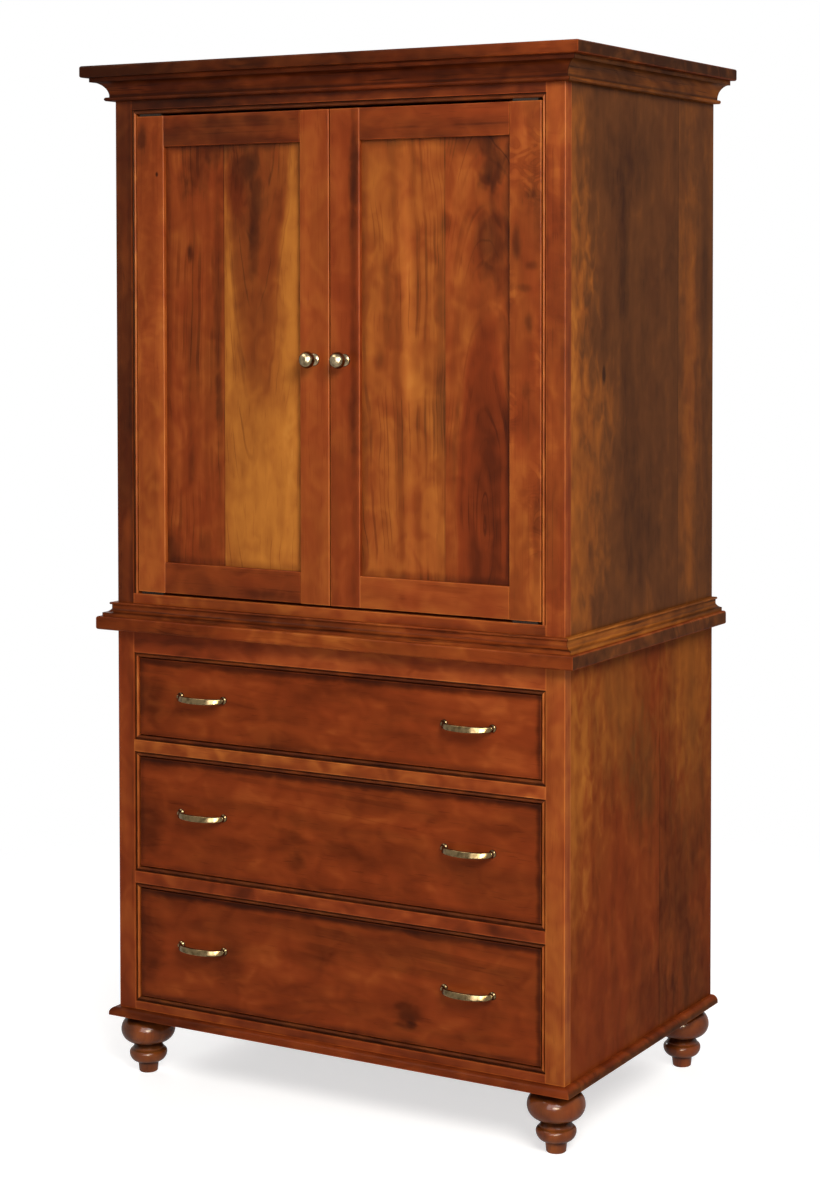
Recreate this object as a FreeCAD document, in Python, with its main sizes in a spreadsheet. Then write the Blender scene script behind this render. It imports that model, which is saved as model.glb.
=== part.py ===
"""Two-part computer armoire in solid cherry: a chest of three drawers that carries a two-door cabinet.

Millimetres, +Z up, front towards -Y.  The origin is on the floor under the middle of the outline.
Every size is a cell of the sheet "Sizes"; every sub-part is an object bound to those cells.
"""
import FreeCAD, Part
import math
import os
import re

import Sketcher

os.makedirs("parts", exist_ok=True)
doc = FreeCAD.newDocument("computer_armoire")

# ---------------------------------------------------------------- sizes
SIZES = (
    # case
    ("case_width", 1000.0, "both cases, over the side panels"),
    ("case_depth", 650.0, "both cases, face frame to back panel"),
    ("side_thick", 20.0, "side panels"),
    ("frame_thick", 23.0, "face frames"),
    ("stile_width", 39.0, "case stiles"),
    ("back_thick", 6.0, "plywood backs"),
    ("arris", 1.5, "radius of the eased edges"),
    # feet
    ("foot_height", 120.0, "floor to base slab"),
    ("foot_side_inset", 38.5, "foot axis from the case side"),
    ("foot_front_inset", 42.0, "foot axis from the case front"),
    ("foot_back_inset", 55.0, "foot axis from the case back"),
    ("foot_toe_radius", 18.5, "bottom of the toe"),
    ("foot_toe_top_radius", 20.5, "top of the toe"),
    ("foot_toe_height", 20.0, "toe"),
    ("foot_bead_radius", 37.5, "lower bead, widest"),
    ("foot_bead_height", 39.0, "lower bead, height of its widest line"),
    ("foot_ring_radius", 30.5, "ring over the lower bead"),
    ("foot_ring_height", 50.0, "ring over the lower bead"),
    ("foot_neck_radius", 23.0, "neck under the ball"),
    ("foot_neck_height", 61.0, "neck under the ball"),
    ("foot_ball_radius", 54.0, "ball, widest"),
    ("foot_ball_height", 87.0, "ball, height of its widest line"),
    ("foot_cap_radius", 34.0, "round cap over the ball"),
    ("foot_cap_height", 7.0, "round cap over the ball"),
    # base slab
    ("base_thick", 16.0, "base slab"),
    ("base_overhang", 16.0, "base slab past the case"),
    ("base_round", 12.0, "round-over of the base slab's upper edge"),
    # drawer openings, from the bottom up
    ("bottom_rail_width", 16.0, "rail under the bottom drawer"),
    ("drawer_rail_width", 23.0, "rails between drawers"),
    ("lower_top_rail_width", 44.5, "rail over the top drawer"),
    ("bottom_opening", 238.0, "bottom drawer opening between rails"),
    ("middle_opening", 240.0, "middle drawer opening between rails"),
    ("top_opening", 174.5, "top drawer opening between rails"),
    ("bead_width", 9.0, "bead strips round the openings"),
    ("bead_setback", 1.5, "bead strips behind the face frame"),
    ("bead_round", 4.0, "rounding of the bead strips' front edges"),
    # waist
    ("waist_thick", 26.5, "waist slab"),
    ("waist_overhang", 31.0, "waist slab past the case"),
    ("waist_round", 4.5, "rounding of the waist slab's edges"),
    ("waist_fillet_out", 22.0, "lowest step of the waist moulding"),
    ("waist_fillet_height", 7.0, "lowest step of the waist moulding"),
    ("waist_cove_height", 7.0, "cove of the waist moulding"),
    ("waist_cove_rise", 2.0, "hollow of the waist cove"),
    ("waist_neck_out", 8.3, "upright face of the waist moulding"),
    ("waist_neck_height", 8.5, "upright face of the waist moulding"),
    ("waist_bead_out", 12.0, "top bead of the waist moulding"),
    ("waist_bead_height", 4.5, "top bead of the waist moulding"),
    ("waist_bead_rise", 2.0, "rounding of the waist bead"),
    # upper case
    ("upper_bottom_rail_width", 46.5, "rail under the doors"),
    ("door_opening", 955.0, "door opening between rails"),
    ("upper_top_rail_width", 63.0, "rail over the doors"),
    ("upper_bottom_thick", 20.0, "bottom board of the upper case"),
    # crown
    ("crown_thick", 23.0, "crown slab"),
    ("crown_overhang", 50.0, "crown slab past the case"),
    ("crown_round", 4.0, "rounding of the crown slab's edges"),
    ("crown_bead_out", 16.0, "bead of the crown moulding"),
    ("crown_bead_height", 7.5, "bead of the crown moulding"),
    ("crown_bead_rise", 3.5, "rounding of the crown bead"),
    ("crown_neck_out", 8.5, "foot of the crown cove"),
    ("crown_cove_out", 30.0, "top of the crown cove"),
    ("crown_cove_height", 29.0, "crown cove"),
    ("crown_cove_rise", 6.5, "hollow of the crown cove"),
    ("crown_fillet_out", 36.5, "fillet under the crown slab"),
    ("crown_fillet_height", 8.5, "fillet under the crown slab"),
    # doors
    ("door_thick", 22.0, "door frames"),
    ("door_setback", 2.0, "door faces behind the face frame"),
    ("door_side_gap", 2.0, "door edge to bead"),
    ("door_end_gap", 5.0, "door to rail or bead, filled by two hinge leaves"),
    ("door_middle_gap", 3.0, "between the two doors"),
    ("door_stile_width", 65.0, "door stiles"),
    ("door_rail_width", 60.0, "door rails"),
    ("panel_thick", 8.0, "door panels"),
    ("panel_setback", 9.0, "door panels behind the frame's face"),
    ("groove_depth", 9.0, "panel grooves"),
    ("panel_play", 0.3, "door panel in its grooves"),
    # knife hinges
    ("leaf_length", 52.0, "hinge leaves"),
    ("leaf_width", 10.0, "hinge leaves"),
    ("leaf_gap", 0.2, "between the two leaves of a hinge"),
    ("pivot_side", 12.0, "pivot axis from the door's outer edge"),
    ("pivot_depth", 7.0, "pivot axis from the door's face"),
    ("pivot_radius", 2.0, "pivot pins"),
    ("pivot_play", 0.05, "pivot pin to its hole, on the radius"),
    # door knobs
    ("knob_foot_radius", 12.0, "knob foot"),
    ("knob_foot_height", 3.0, "knob foot"),
    ("knob_stem_radius", 6.0, "knob stem"),
    ("knob_reach", 40.0, "knob, door face to the front of the head"),
    ("knob_head_radius", 16.5, "knob head"),
    ("knob_head_depth", 21.0, "knob head"),
    ("knob_head_round", 4.0, "dome of the knob head"),
    ("knob_level", 1438.0, "knob axis above the floor"),
    # drawers
    ("front_thick", 20.0, "drawer fronts"),
    ("front_setback", 4.0, "drawer fronts behind the face frame"),
    ("front_gap", 2.0, "drawer front to bead"),
    ("box_thick", 13.0, "drawer box sides and ends"),
    ("box_depth", 520.0, "drawer boxes behind the fronts"),
    ("box_headroom", 18.0, "clear space over the drawer boxes"),
    ("box_lift", 10.0, "clear space under the drawer boxes"),
    ("box_bottom_thick", 6.0, "drawer box bottoms"),
    ("box_bottom_rise", 10.0, "box bottom above the lower edge of the sides"),
    # drawer slides
    ("slide_thick", 12.5, "slide, block to drawer box"),
    ("slide_height", 45.0, "slide, case member"),
    ("slide_length", 500.0, "slides"),
    ("slide_inset", 3.0, "drawer slides behind the face frame's back"),
    ("slide_gauge", 1.5, "slide sheet"),
    ("slide_play", 0.3, "between the two slide members, above and below"),
    ("slide_side_play", 0.5, "between the two slide members, sideways"),
    # pulls
    ("pull_centres", 102.0, "between the feet of a pull"),
    ("pull_spread", 299.0, "middle of a pull from the middle of the drawer"),
    ("pull_rise", 8.0, "pulls above the middle of the drawer front"),
    ("pull_reach", 28.0, "drawer front to the outside of the bow"),
    ("pull_corner", 23.0, "bend radius of the bow"),
    ("bow_height", 10.5, "bow section, upright"),
    ("bow_thick", 5.0, "bow section, front to back"),
    ("bow_round", 1.6, "rounding of the bow's upper and lower edge"),
    ("pull_foot_radius", 7.8, "round foot at each end of a pull"),
    ("pull_foot_height", 3.0, "round foot at each end of a pull"),
    # fittings of the upper case
    ("work_shelf_level", 1074.0, "top of the fixed work shelf"),
    ("top_shelf_level", 1564.0, "top of the adjustable shelf"),
    ("shelf_thick", 20.0, "shelves"),
    ("shelf_play", 1.0, "shelf end to side panel"),
    ("shelf_setback", 20.0, "shelf edges behind the doors"),
    ("shelf_pin_radius", 3.0, "shelf pins"),
    ("shelf_pin_reach", 12.0, "shelf pins out of the side panel"),
    ("shelf_pin_seat", 9.0, "shelf pins inside the side panel"),
    ("shelf_pin_play", 0.05, "shelf pin to its hole, on the radius"),
    ("shelf_pin_inset", 70.0, "shelf pins from the shelf's front and back edges"),
    ("tray_width", 760.0, "keyboard tray"),
    ("tray_depth", 380.0, "keyboard tray"),
    ("tray_thick", 18.0, "keyboard tray"),
    ("tray_drop", 70.0, "work shelf's underside to the tray's underside"),
    ("tray_play", 0.3, "tray to its slides"),
    ("grommet_radius", 30.0, "cable hole in the back"),
    ("grommet_wall", 3.0, "cable grommet sleeve"),
    ("grommet_flange", 7.0, "grommet flange past its sleeve"),
    ("grommet_flange_thick", 2.5, "grommet flange"),
    ("grommet_play", 0.2, "grommet sleeve in the hole, on the radius"),
    ("grommet_level", 1154.0, "cable hole above the floor"),
)

sheet = doc.addObject("Spreadsheet::Sheet", "Sizes")
for row, (alias, number, note) in enumerate(SIZES, start=1):
    sheet.set(f"A{row}", note)
    sheet.set(f"B{row}", str(number))
    sheet.setAlias(f"B{row}", alias)
doc.recompute()

ALIAS = re.compile(r"\b(" + "|".join(alias for alias, _, _ in SIZES) + r")\b")

# ---------------------------------------------------------------- places, as expressions of the sizes
HALF = "(case_width / 2)"
FRONT = "(-(case_depth - crown_overhang) / 2)"
BACK = "((case_depth + crown_overhang) / 2)"
BACK_FACE = f"({BACK} - back_thick)"
FRAME_BACK = f"({FRONT} + frame_thick)"
INSIDE = f"({HALF} - side_thick)"
STILE_EDGE = f"({HALF} - stile_width)"
CLEAR = f"({STILE_EDGE} - bead_width)"

BASE_TOP = "(foot_height + base_thick)"
BOTTOM_OPENING = f"({BASE_TOP} + bottom_rail_width)"
LOWER_RAIL = f"({BOTTOM_OPENING} + bottom_opening)"
MIDDLE_OPENING = f"({LOWER_RAIL} + drawer_rail_width)"
UPPER_RAIL = f"({MIDDLE_OPENING} + middle_opening)"
TOP_OPENING = f"({UPPER_RAIL} + drawer_rail_width)"
LOWER_TOP_RAIL = f"({TOP_OPENING} + top_opening)"
WAIST = f"({LOWER_TOP_RAIL} + lower_top_rail_width)"
WAIST_TOP = f"({WAIST} + waist_thick)"
DOOR_OPENING = f"({WAIST_TOP} + upper_bottom_rail_width)"
UPPER_TOP_RAIL = f"({DOOR_OPENING} + door_opening)"
CROWN = f"({UPPER_TOP_RAIL} + upper_top_rail_width)"


# ---------------------------------------------------------------- helpers
def cells(text):
    """An expression in which each size name points at its cell."""
    return ALIAS.sub(r"Sizes.\1", text)


def value(text):
    """The number that an expression of the sizes has now."""
    return float(sheet.evalExpression(cells(text)))


def bind(thing, prop, text):
    thing.setExpression(prop, cells(text))


def place(thing, x="0", y="0", z="0"):
    for axis, text in zip("xyz", (x, y, z)):
        bind(thing, f"Placement.Base.{axis}", text)


NODES = []


def node(thing, label):
    """Names a finished sub-part; its label is its file's name."""
    thing.Label = label
    NODES.append(thing)
    return thing


def origin_plane(body, role):
    return next(item for item in body.Origin.OriginFeatures if item.Role == role)


def outline(body, role, corners, arcs=None, closed=True):
    """Sketch on an origin plane.  Each corner is held at two bound distances from the origin.

    arcs gives, for the stretch that starts at a corner, its bound radius and the side (+1 left, -1 right
    of the way along) on which its centre lies.
    """
    arcs = arcs or {}
    sketch = body.newObject("Sketcher::SketchObject", f"{body.Name}_{role}_sketch")
    sketch.AttachmentSupport = [(origin_plane(body, role), "")]
    sketch.MapMode = "FlatFace"
    points = [FreeCAD.Vector(value(x), value(y), 0) for x, y in corners]
    ends = []
    count = len(points) if closed else len(points) - 1
    for i in range(count):
        start = points[i]
        finish = points[(i + 1) % len(points)]
        if i not in arcs:
            ends.append((sketch.addGeometry(Part.LineSegment(start, finish), False), 1, 2))
            continue
        text, side = arcs[i]
        chord = finish - start
        radius = value(text)
        lift = math.sqrt(max(radius ** 2 - (chord.Length / 2) ** 2, 0.0))
        left = FreeCAD.Vector(-chord.y, chord.x, 0).normalize()
        centre = (start + finish) / 2 + left * (lift * side)
        circle = Part.Circle(centre, FreeCAD.Vector(0, 0, 1), radius)
        first, last = (start, finish) if side > 0 else (finish, start)
        angles = [math.atan2(p.y - centre.y, p.x - centre.x) for p in (first, last)]
        geo = sketch.addGeometry(Part.ArcOfCircle(circle, angles[0], angles[1]), False)
        ends.append((geo, 1, 2) if side > 0 else (geo, 2, 1))
        mark = sketch.addConstraint(Sketcher.Constraint("Radius", geo, radius))
        bind(sketch, f"Constraints[{mark}]", text)
    for i, point in enumerate(points):
        geo, end = ends[i][:2] if i < count else (ends[-1][0], ends[-1][2])
        if closed or 0 < i < count:
            last_geo, _, last_end = ends[i - 1]
            sketch.addConstraint(Sketcher.Constraint("Coincident", last_geo, last_end, geo, end))
        for kind, axis_geo, text, number in (
            ("DistanceX", -2, corners[i][0], point.x),
            ("DistanceY", -1, corners[i][1], point.y),
        ):
            if text == "0":
                sketch.addConstraint(Sketcher.Constraint("PointOnObject", geo, end, axis_geo))
                continue
            mark = sketch.addConstraint(Sketcher.Constraint(kind, -1, 1, geo, end, number))
            bind(sketch, f"Constraints[{mark}]", text)
    return sketch


def over_rise(start, finish, rise):
    """Radius of the arc between two corners that stands a given rise off their chord."""
    chord_squared = f"(({finish[0]} - ({start[0]}))^2 + ({finish[1]} - ({start[1]}))^2)"
    return f"({chord_squared} / 4 + ({rise})^2) / (2 * ({rise}))"


def from_crest(crest, finish):
    """Radius of the arc that leaves a crest upright and ends at a corner nearer the axis."""
    inwards = f"({crest[0]} - ({finish[0]}))"
    return f"({inwards}^2 + ({finish[1]} - ({crest[1]}))^2) / (2 * {inwards})"


def body_of(name):
    return doc.addObject("PartDesign::Body", name)


def pad(body, sketch, length, middle=False):
    """Extrusion of a sketch along its plane's normal."""
    feature = body.newObject("PartDesign::Pad", body.Name + "_pad")
    feature.Profile = sketch
    feature.Midplane = middle
    bind(feature, "Length", length)
    return feature


def turned(body, sketch, axis):
    """Full revolution of a sketch about one of its own axes."""
    feature = body.newObject("PartDesign::Revolution", body.Name + "_turning")
    feature.Profile = sketch
    feature.ReferenceAxis = (sketch, [axis])
    feature.Angle = 360.0
    return feature


def edge_names(shape, wanted):
    """Names of a block's edges; "x+y-" is the edge on its high x side and low y side."""
    box = shape.BoundBox
    sides = {
        "x-": ("x", box.XMin), "x+": ("x", box.XMax), "y-": ("y", box.YMin),
        "y+": ("y", box.YMax), "z-": ("z", box.ZMin), "z+": ("z", box.ZMax),
    }
    names = []
    for number, edge in enumerate(shape.Edges, start=1):
        middle = edge.CenterOfMass
        for code in wanted:
            pair = (sides[code[:2]], sides[code[2:]])
            if all(abs(getattr(middle, axis) - level) < 1e-6 for axis, level in pair):
                names.append(f"Edge{number}")
    return names


def board(name, x, y, z, eased=(), radius="arris"):
    """Straight board between two places along each axis, with some of its long edges rounded."""
    body = body_of(name)
    block = body.newObject("PartDesign::AdditiveBox", name + "_block")
    for prop, (low, high) in zip(("Length", "Width", "Height"), (x, y, z)):
        bind(block, prop, f"{high} - ({low})")
    place(body, x[0], y[0], z[0])
    if eased:
        doc.recompute()
        rounding = body.newObject("PartDesign::Fillet", name + "_rounding")
        rounding.Base = (block, edge_names(block.Shape, eased))
        bind(rounding, "Radius", radius)
    return body


def block(name, x, y, z):
    """Plain block for cuts and hidden fittings."""
    box = doc.addObject("Part::Box", name)
    for prop, (low, high) in zip(("Length", "Width", "Height"), (x, y, z)):
        bind(box, prop, f"{high} - ({low})")
    place(box, x[0], y[0], z[0])
    return box


def rod(name, radius, height, x, y, z, axis=(0, 0, 1)):
    """Cylinder that starts at a place and runs along an axis."""
    cylinder = doc.addObject("Part::Cylinder", name)
    bind(cylinder, "Radius", radius)
    bind(cylinder, "Height", height)
    cylinder.Placement.Rotation = FreeCAD.Rotation(FreeCAD.Vector(0, 0, 1), FreeCAD.Vector(*axis))
    place(cylinder, x, y, z)
    return cylinder


def cut(name, base, tools):
    for number, tool in enumerate(tools, start=1):
        step = doc.addObject("Part::Cut", name if number == len(tools) else f"{name}_cut_{number}")
        step.Base = base
        step.Tool = tool
        base = step
    return base


def fuse(name, pieces):
    joined = doc.addObject("Part::MultiFuse", name)
    joined.Shapes = pieces
    return joined


def group(name, pieces):
    """Several separate solids that share one sub-part."""
    together = doc.addObject("Part::Compound", name)
    together.Links = pieces
    return together


# ---------------------------------------------------------------- turned feet
def foot(label, x, y):
    """Turned foot: toe, lower bead, ring, neck, ball and cap, revolved about its own axis."""
    body = body_of(label)
    toe_top = ("foot_toe_top_radius", "foot_toe_height")
    bead = ("foot_bead_radius", "foot_bead_height")
    ring_foot = ("foot_ring_radius + arris", "foot_ring_height - 2 * arris")
    neck = ("foot_neck_radius", "foot_neck_height")
    ball = ("foot_ball_radius", "foot_ball_height")
    shoulder = ("foot_cap_radius", "foot_height - foot_cap_height")
    corners = [
        ("0", "0"),
        ("foot_toe_radius - arris", "0"),
        ("foot_toe_radius", "arris"),
        toe_top,
        bead,
        ring_foot,
        ("foot_ring_radius", "foot_ring_height - arris"),
        ("foot_ring_radius", "foot_ring_height"),
        neck,
        ball,
        shoulder,
        ("foot_cap_radius", "foot_height"),
        ("0", "foot_height"),
    ]
    arcs = {
        3: (from_crest(bead, toe_top), 1),
        4: (from_crest(bead, ring_foot), 1),
        8: (from_crest(ball, neck), 1),
        9: (from_crest(ball, shoulder), 1),
    }
    turned(body, outline(body, "XZ_Plane", corners, arcs), "V_Axis")
    place(body, x, y)
    return node(body, label)


FOOT_X = f"({HALF} - foot_side_inset)"
FOOT_FRONT = f"({FRONT} + foot_front_inset)"
FOOT_BACK = f"({BACK} - foot_back_inset)"
for side, x in (("left", f"-{FOOT_X}"), ("right", FOOT_X)):
    foot(f"foot_front_{side}", x, FOOT_FRONT)
    foot(f"foot_back_{side}", x, FOOT_BACK)


# ---------------------------------------------------------------- slabs: base, waist and crown
def slab(label, low, thick, overhang, eased, radius):
    """Full board that overhangs the case at the front and both sides, flush at the back."""
    return node(board(
        label,
        (f"-({HALF} + {overhang})", f"({HALF} + {overhang})"),
        (f"({FRONT} - {overhang})", BACK),
        (low, f"({low} + {thick})"),
        eased, radius,
    ), label)


UPPER_EDGES = ("y-z+", "x-z+", "x+z+")
BOTH_EDGES = UPPER_EDGES + ("y-z-", "x-z-", "x+z-")
slab("base_slab", "foot_height", "base_thick", "base_overhang", UPPER_EDGES, "base_round")
slab("waist_slab", WAIST, "waist_thick", "waist_overhang", BOTH_EDGES, "waist_round")
slab("crown_slab", CROWN, "crown_thick", "crown_overhang", BOTH_EDGES, "crown_round")


# ---------------------------------------------------------------- mitred mouldings
def moulding(label, low, reach, profile, arcs):
    """Three lengths of one profile, mitred at the front corners and square at the back.

    profile gives corners as (distance out from the case, height above low).  Each length is an
    extrusion kept inside a wedge whose plan is the mitred length, wide face outwards.
    """
    run = f"(case_width + 2 * {reach})"
    depth = f"(case_depth + {reach})"
    outside = f"({HALF} + {reach})"
    lengths = (
        # side, sketch plane, way out, extrusion, wide face, narrow face, turn, wedge corner
        ("front", "YZ_Plane", -1, run, run, (reach, f"{run} - {reach}"), 0.0,
         (f"-{outside}", f"({FRONT} - {reach})")),
        ("right", "XZ_Plane", 1, f"2 * {depth}", depth, (reach, depth), 90.0,
         (outside, f"({FRONT} - {reach})")),
        ("left", "XZ_Plane", -1, f"2 * {depth}", depth, ("0", f"{depth} - {reach}"), -90.0,
         (f"-{outside}", BACK)),
    )
    pieces = []
    for side, role, sign, extrusion, wide, narrow, turn, corner in lengths:
        body = body_of(f"{label}_{side}_length")
        corners = [(out if out == "0" else f"{sign} * ({out})", up) for out, up in profile]
        turns = {i: (radius, bend * sign) for i, (radius, bend) in arcs.items()}
        pad(body, outline(body, role, corners, turns), extrusion, middle=True)
        place(body, "0" if side == "front" else f"{sign} * {HALF}", FRONT if side == "front" else BACK, low)
        mitre = doc.addObject("Part::Wedge", f"{label}_{side}_mitre")
        limits = {"Xmin": "0", "Xmax": wide, "X2min": narrow[0], "X2max": narrow[1], "Ymin": "0",
                  "Ymax": reach, "Zmin": "0", "Z2min": "0", "Zmax": profile[-1][1], "Z2max": profile[-1][1]}
        for prop, text in limits.items():
            bind(mitre, prop, text)
        mitre.Placement.Rotation = FreeCAD.Rotation(FreeCAD.Vector(0, 0, 1), turn)
        place(mitre, corner[0], corner[1], low)
        common = doc.addObject("Part::Common", f"{label}_{side}")
        common.Base = body
        common.Tool = mitre
        pieces.append(common)
    return node(group(label, pieces), label)


WAIST_COVE_TOP = "(waist_fillet_height + waist_cove_height)"
WAIST_BEAD = f"({WAIST_COVE_TOP} + waist_neck_height)"
WAIST_MOULDING_HEIGHT = f"({WAIST_BEAD} + waist_bead_height)"
waist_cove = (("waist_fillet_out", "waist_fillet_height"), ("waist_neck_out", WAIST_COVE_TOP))
waist_bead = tuple(("waist_bead_out - waist_bead_rise", up) for up in (WAIST_BEAD, WAIST_MOULDING_HEIGHT))
moulding(
    "waist_moulding", WAIST_TOP, "waist_fillet_out",
    [
        ("0", "0"),
        ("waist_fillet_out", "0"),
        *waist_cove,
        ("waist_neck_out", WAIST_BEAD),
        *waist_bead,
        ("0", WAIST_MOULDING_HEIGHT),
    ],
    {2: (over_rise(*waist_cove, "waist_cove_rise"), -1), 5: (over_rise(*waist_bead, "waist_bead_rise"), 1)},
)

CROWN_COVE_TOP = "(crown_bead_height + crown_cove_height)"
CROWN_MOULDING_HEIGHT = f"({CROWN_COVE_TOP} + crown_fillet_height)"
crown_bead = tuple(("crown_bead_out - crown_bead_rise", up) for up in ("0", "crown_bead_height"))
crown_cove = (("crown_neck_out", "crown_bead_height"), ("crown_cove_out", CROWN_COVE_TOP))
moulding(
    "crown_moulding", f"({CROWN} - {CROWN_MOULDING_HEIGHT})", "crown_fillet_out",
    [
        ("0", "0"),
        *crown_bead,
        *crown_cove,
        ("crown_fillet_out", CROWN_COVE_TOP),
        ("crown_fillet_out", CROWN_MOULDING_HEIGHT),
        ("0", CROWN_MOULDING_HEIGHT),
    ],
    {1: (over_rise(*crown_bead, "crown_bead_rise"), 1), 3: (over_rise(*crown_cove, "crown_cove_rise"), -1)},
)


# ---------------------------------------------------------------- case panels
SHELF_FRONT = f"({FRONT} + door_setback + door_thick + shelf_setback)"
SHELF_LEVELS = ("work_shelf_level", "top_shelf_level")
PIN_PLACES = [
    (y, f"({level} - shelf_thick - shelf_pin_radius)")
    for level in SHELF_LEVELS
    for y in (f"({SHELF_FRONT} + shelf_pin_inset)", f"({BACK_FACE} - shelf_pin_inset)")
]
SIDES = (("left", -1), ("right", 1))


def spread(sign, inner, outer):
    """The two places along X of a piece on the left (-1) or right (+1), lower one first."""
    return (f"-{outer}", f"-{inner}") if sign < 0 else (inner, outer)


for side, sign in SIDES:
    x = spread(sign, INSIDE, HALF)
    node(board(f"lower_side_{side}", x, (FRAME_BACK, BACK), (BASE_TOP, WAIST)), f"lower_side_{side}")
    panel = board(f"upper_side_{side}_panel", x, (FRAME_BACK, BACK), (WAIST_TOP, CROWN))
    holes = [
        rod(f"pin_hole_{side}_{number}", "shelf_pin_radius + shelf_pin_play", "shelf_pin_seat",
            f"{sign} * {INSIDE}", y, level, (sign, 0, 0))
        for number, (y, level) in enumerate(PIN_PLACES, start=1)
    ]
    node(cut(f"upper_side_{side}", panel, holes), f"upper_side_{side}")

BETWEEN_SIDES = (f"-{INSIDE}", INSIDE)
node(board("lower_back", BETWEEN_SIDES, (BACK_FACE, BACK), (BASE_TOP, WAIST)), "lower_back")
node(board("upper_bottom", BETWEEN_SIDES, (FRAME_BACK, BACK_FACE),
           (f"({DOOR_OPENING} - upper_bottom_thick)", DOOR_OPENING)), "upper_bottom")
upper_back_panel = board("upper_back_panel", BETWEEN_SIDES, (BACK_FACE, BACK), (WAIST_TOP, CROWN))
cable_hole = rod("cable_hole", "grommet_radius", "back_thick", "0", BACK_FACE, "grommet_level", (0, 1, 0))
node(cut("upper_back", upper_back_panel, [cable_hole]), "upper_back")

# ---------------------------------------------------------------- face frames
FRAME_Y = (FRONT, FRAME_BACK)
BETWEEN_STILES = (f"-{STILE_EDGE}", STILE_EDGE)
for case, low, high in (("lower", BASE_TOP, WAIST), ("upper", WAIST_TOP, CROWN)):
    for side, sign in SIDES:
        label = f"{case}_stile_{side}"
        corner = ("x-y-",) if sign < 0 else ("x+y-",)
        node(board(label, spread(sign, STILE_EDGE, HALF), FRAME_Y, (low, high), corner), label)

for label, low, high in (
    ("lower_bottom_rail", BASE_TOP, BOTTOM_OPENING),
    ("drawer_rail_lower", LOWER_RAIL, MIDDLE_OPENING),
    ("drawer_rail_upper", UPPER_RAIL, TOP_OPENING),
    ("lower_top_rail", LOWER_TOP_RAIL, WAIST),
    ("upper_bottom_rail", WAIST_TOP, DOOR_OPENING),
    ("upper_top_rail", UPPER_TOP_RAIL, CROWN),
):
    node(board(label, BETWEEN_STILES, FRAME_Y, (low, high)), label)

# ---------------------------------------------------------------- bead strips round the openings
BEAD_Y = (f"({FRONT} + bead_setback)", FRAME_BACK)
OPENINGS = (
    ("bottom", BOTTOM_OPENING, LOWER_RAIL),
    ("middle", MIDDLE_OPENING, UPPER_RAIL),
    ("top", TOP_OPENING, LOWER_TOP_RAIL),
    ("door", DOOR_OPENING, UPPER_TOP_RAIL),
)
strips = []
for opening, low, high in OPENINGS:
    for side, sign in SIDES:
        strips.append(board(f"{opening}_bead_{side}", spread(sign, CLEAR, STILE_EDGE), BEAD_Y, (low, high),
                            ("x-y-", "x+y-"), "bead_round"))
    ends = [("upper", f"({high} - bead_width)", high)]
    if opening != "door":
        ends.append(("lower", low, f"({low} + bead_width)"))
    for end, strip_low, strip_high in ends:
        strips.append(board(f"{opening}_bead_{end}", (f"-{CLEAR}", CLEAR), BEAD_Y, (strip_low, strip_high),
                            ("y-z-", "y-z+"), "bead_round"))
node(group("opening_beads", strips), "opening_beads")

# ---------------------------------------------------------------- shelves, pins and cable grommet
shelf_x = (f"-({INSIDE} - shelf_play)", f"({INSIDE} - shelf_play)")
node(group("shelves", [
    board(f"shelf_{number}", shelf_x, (SHELF_FRONT, f"({BACK_FACE} - shelf_play)"),
          (f"({level} - shelf_thick)", level), ("y-z-", "y-z+"))
    for number, level in enumerate(SHELF_LEVELS, start=1)
]), "shelves")
node(group("shelf_pins", [
    rod(f"shelf_pin_{side}_{number}", "shelf_pin_radius", "shelf_pin_reach + shelf_pin_seat",
        f"{sign} * ({INSIDE} + shelf_pin_seat)", y, level, (-sign, 0, 0))
    for side, sign in SIDES
    for number, (y, level) in enumerate(PIN_PLACES, start=1)
]), "shelf_pins")

sleeve = "(grommet_radius - grommet_play)"
grommet_sleeve = rod("grommet_sleeve", sleeve, "back_thick", "0", BACK_FACE, "grommet_level", (0, 1, 0))
grommet_flange = rod("grommet_flange", f"{sleeve} + grommet_flange", "grommet_flange_thick",
                     "0", f"{BACK_FACE} - grommet_flange_thick", "grommet_level", (0, 1, 0))
grommet_bore = rod("grommet_bore", f"{sleeve} - grommet_wall", "back_thick + grommet_flange_thick",
                   "0", f"{BACK_FACE} - grommet_flange_thick", "grommet_level", (0, 1, 0))
grommet_blank = fuse("grommet_blank", [grommet_sleeve, grommet_flange])
node(cut("cable_grommet", grommet_blank, [grommet_bore]), "cable_grommet")

# ---------------------------------------------------------------- keyboard tray under the work shelf
TRAY_LOW = "(work_shelf_level - shelf_thick - tray_drop)"
TRAY_HALF = "(tray_width / 2)"
TRAY_BACK = f"({SHELF_FRONT} + tray_depth)"
node(board("keyboard_tray", (f"-{TRAY_HALF}", TRAY_HALF), (SHELF_FRONT, TRAY_BACK),
           (TRAY_LOW, f"({TRAY_LOW} + tray_thick)"), ("y-z-", "y-z+")), "keyboard_tray")

# ---------------------------------------------------------------- drawer slides: blocks and fixed members
BOX_HALF = f"({CLEAR} - slide_thick)"
SLIDE_Y = (f"({FRAME_BACK} + slide_inset)", f"({FRAME_BACK} + slide_inset + slide_length)")


def box_span(low, high):
    """Bottom and top of the drawer box that goes with an opening."""
    return f"({low} + bead_width + box_lift)", f"({high} - bead_width - box_headroom)"


def slide_span(low, high, shrink="0"):
    """Bottom and top of a slide member, centred on its drawer box."""
    box_low, box_high = box_span(low, high)
    middle = f"(({box_low} + {box_high}) / 2)"
    half = f"(slide_height / 2 - ({shrink}))"
    return f"({middle} - {half})", f"({middle} + {half})"


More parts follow.
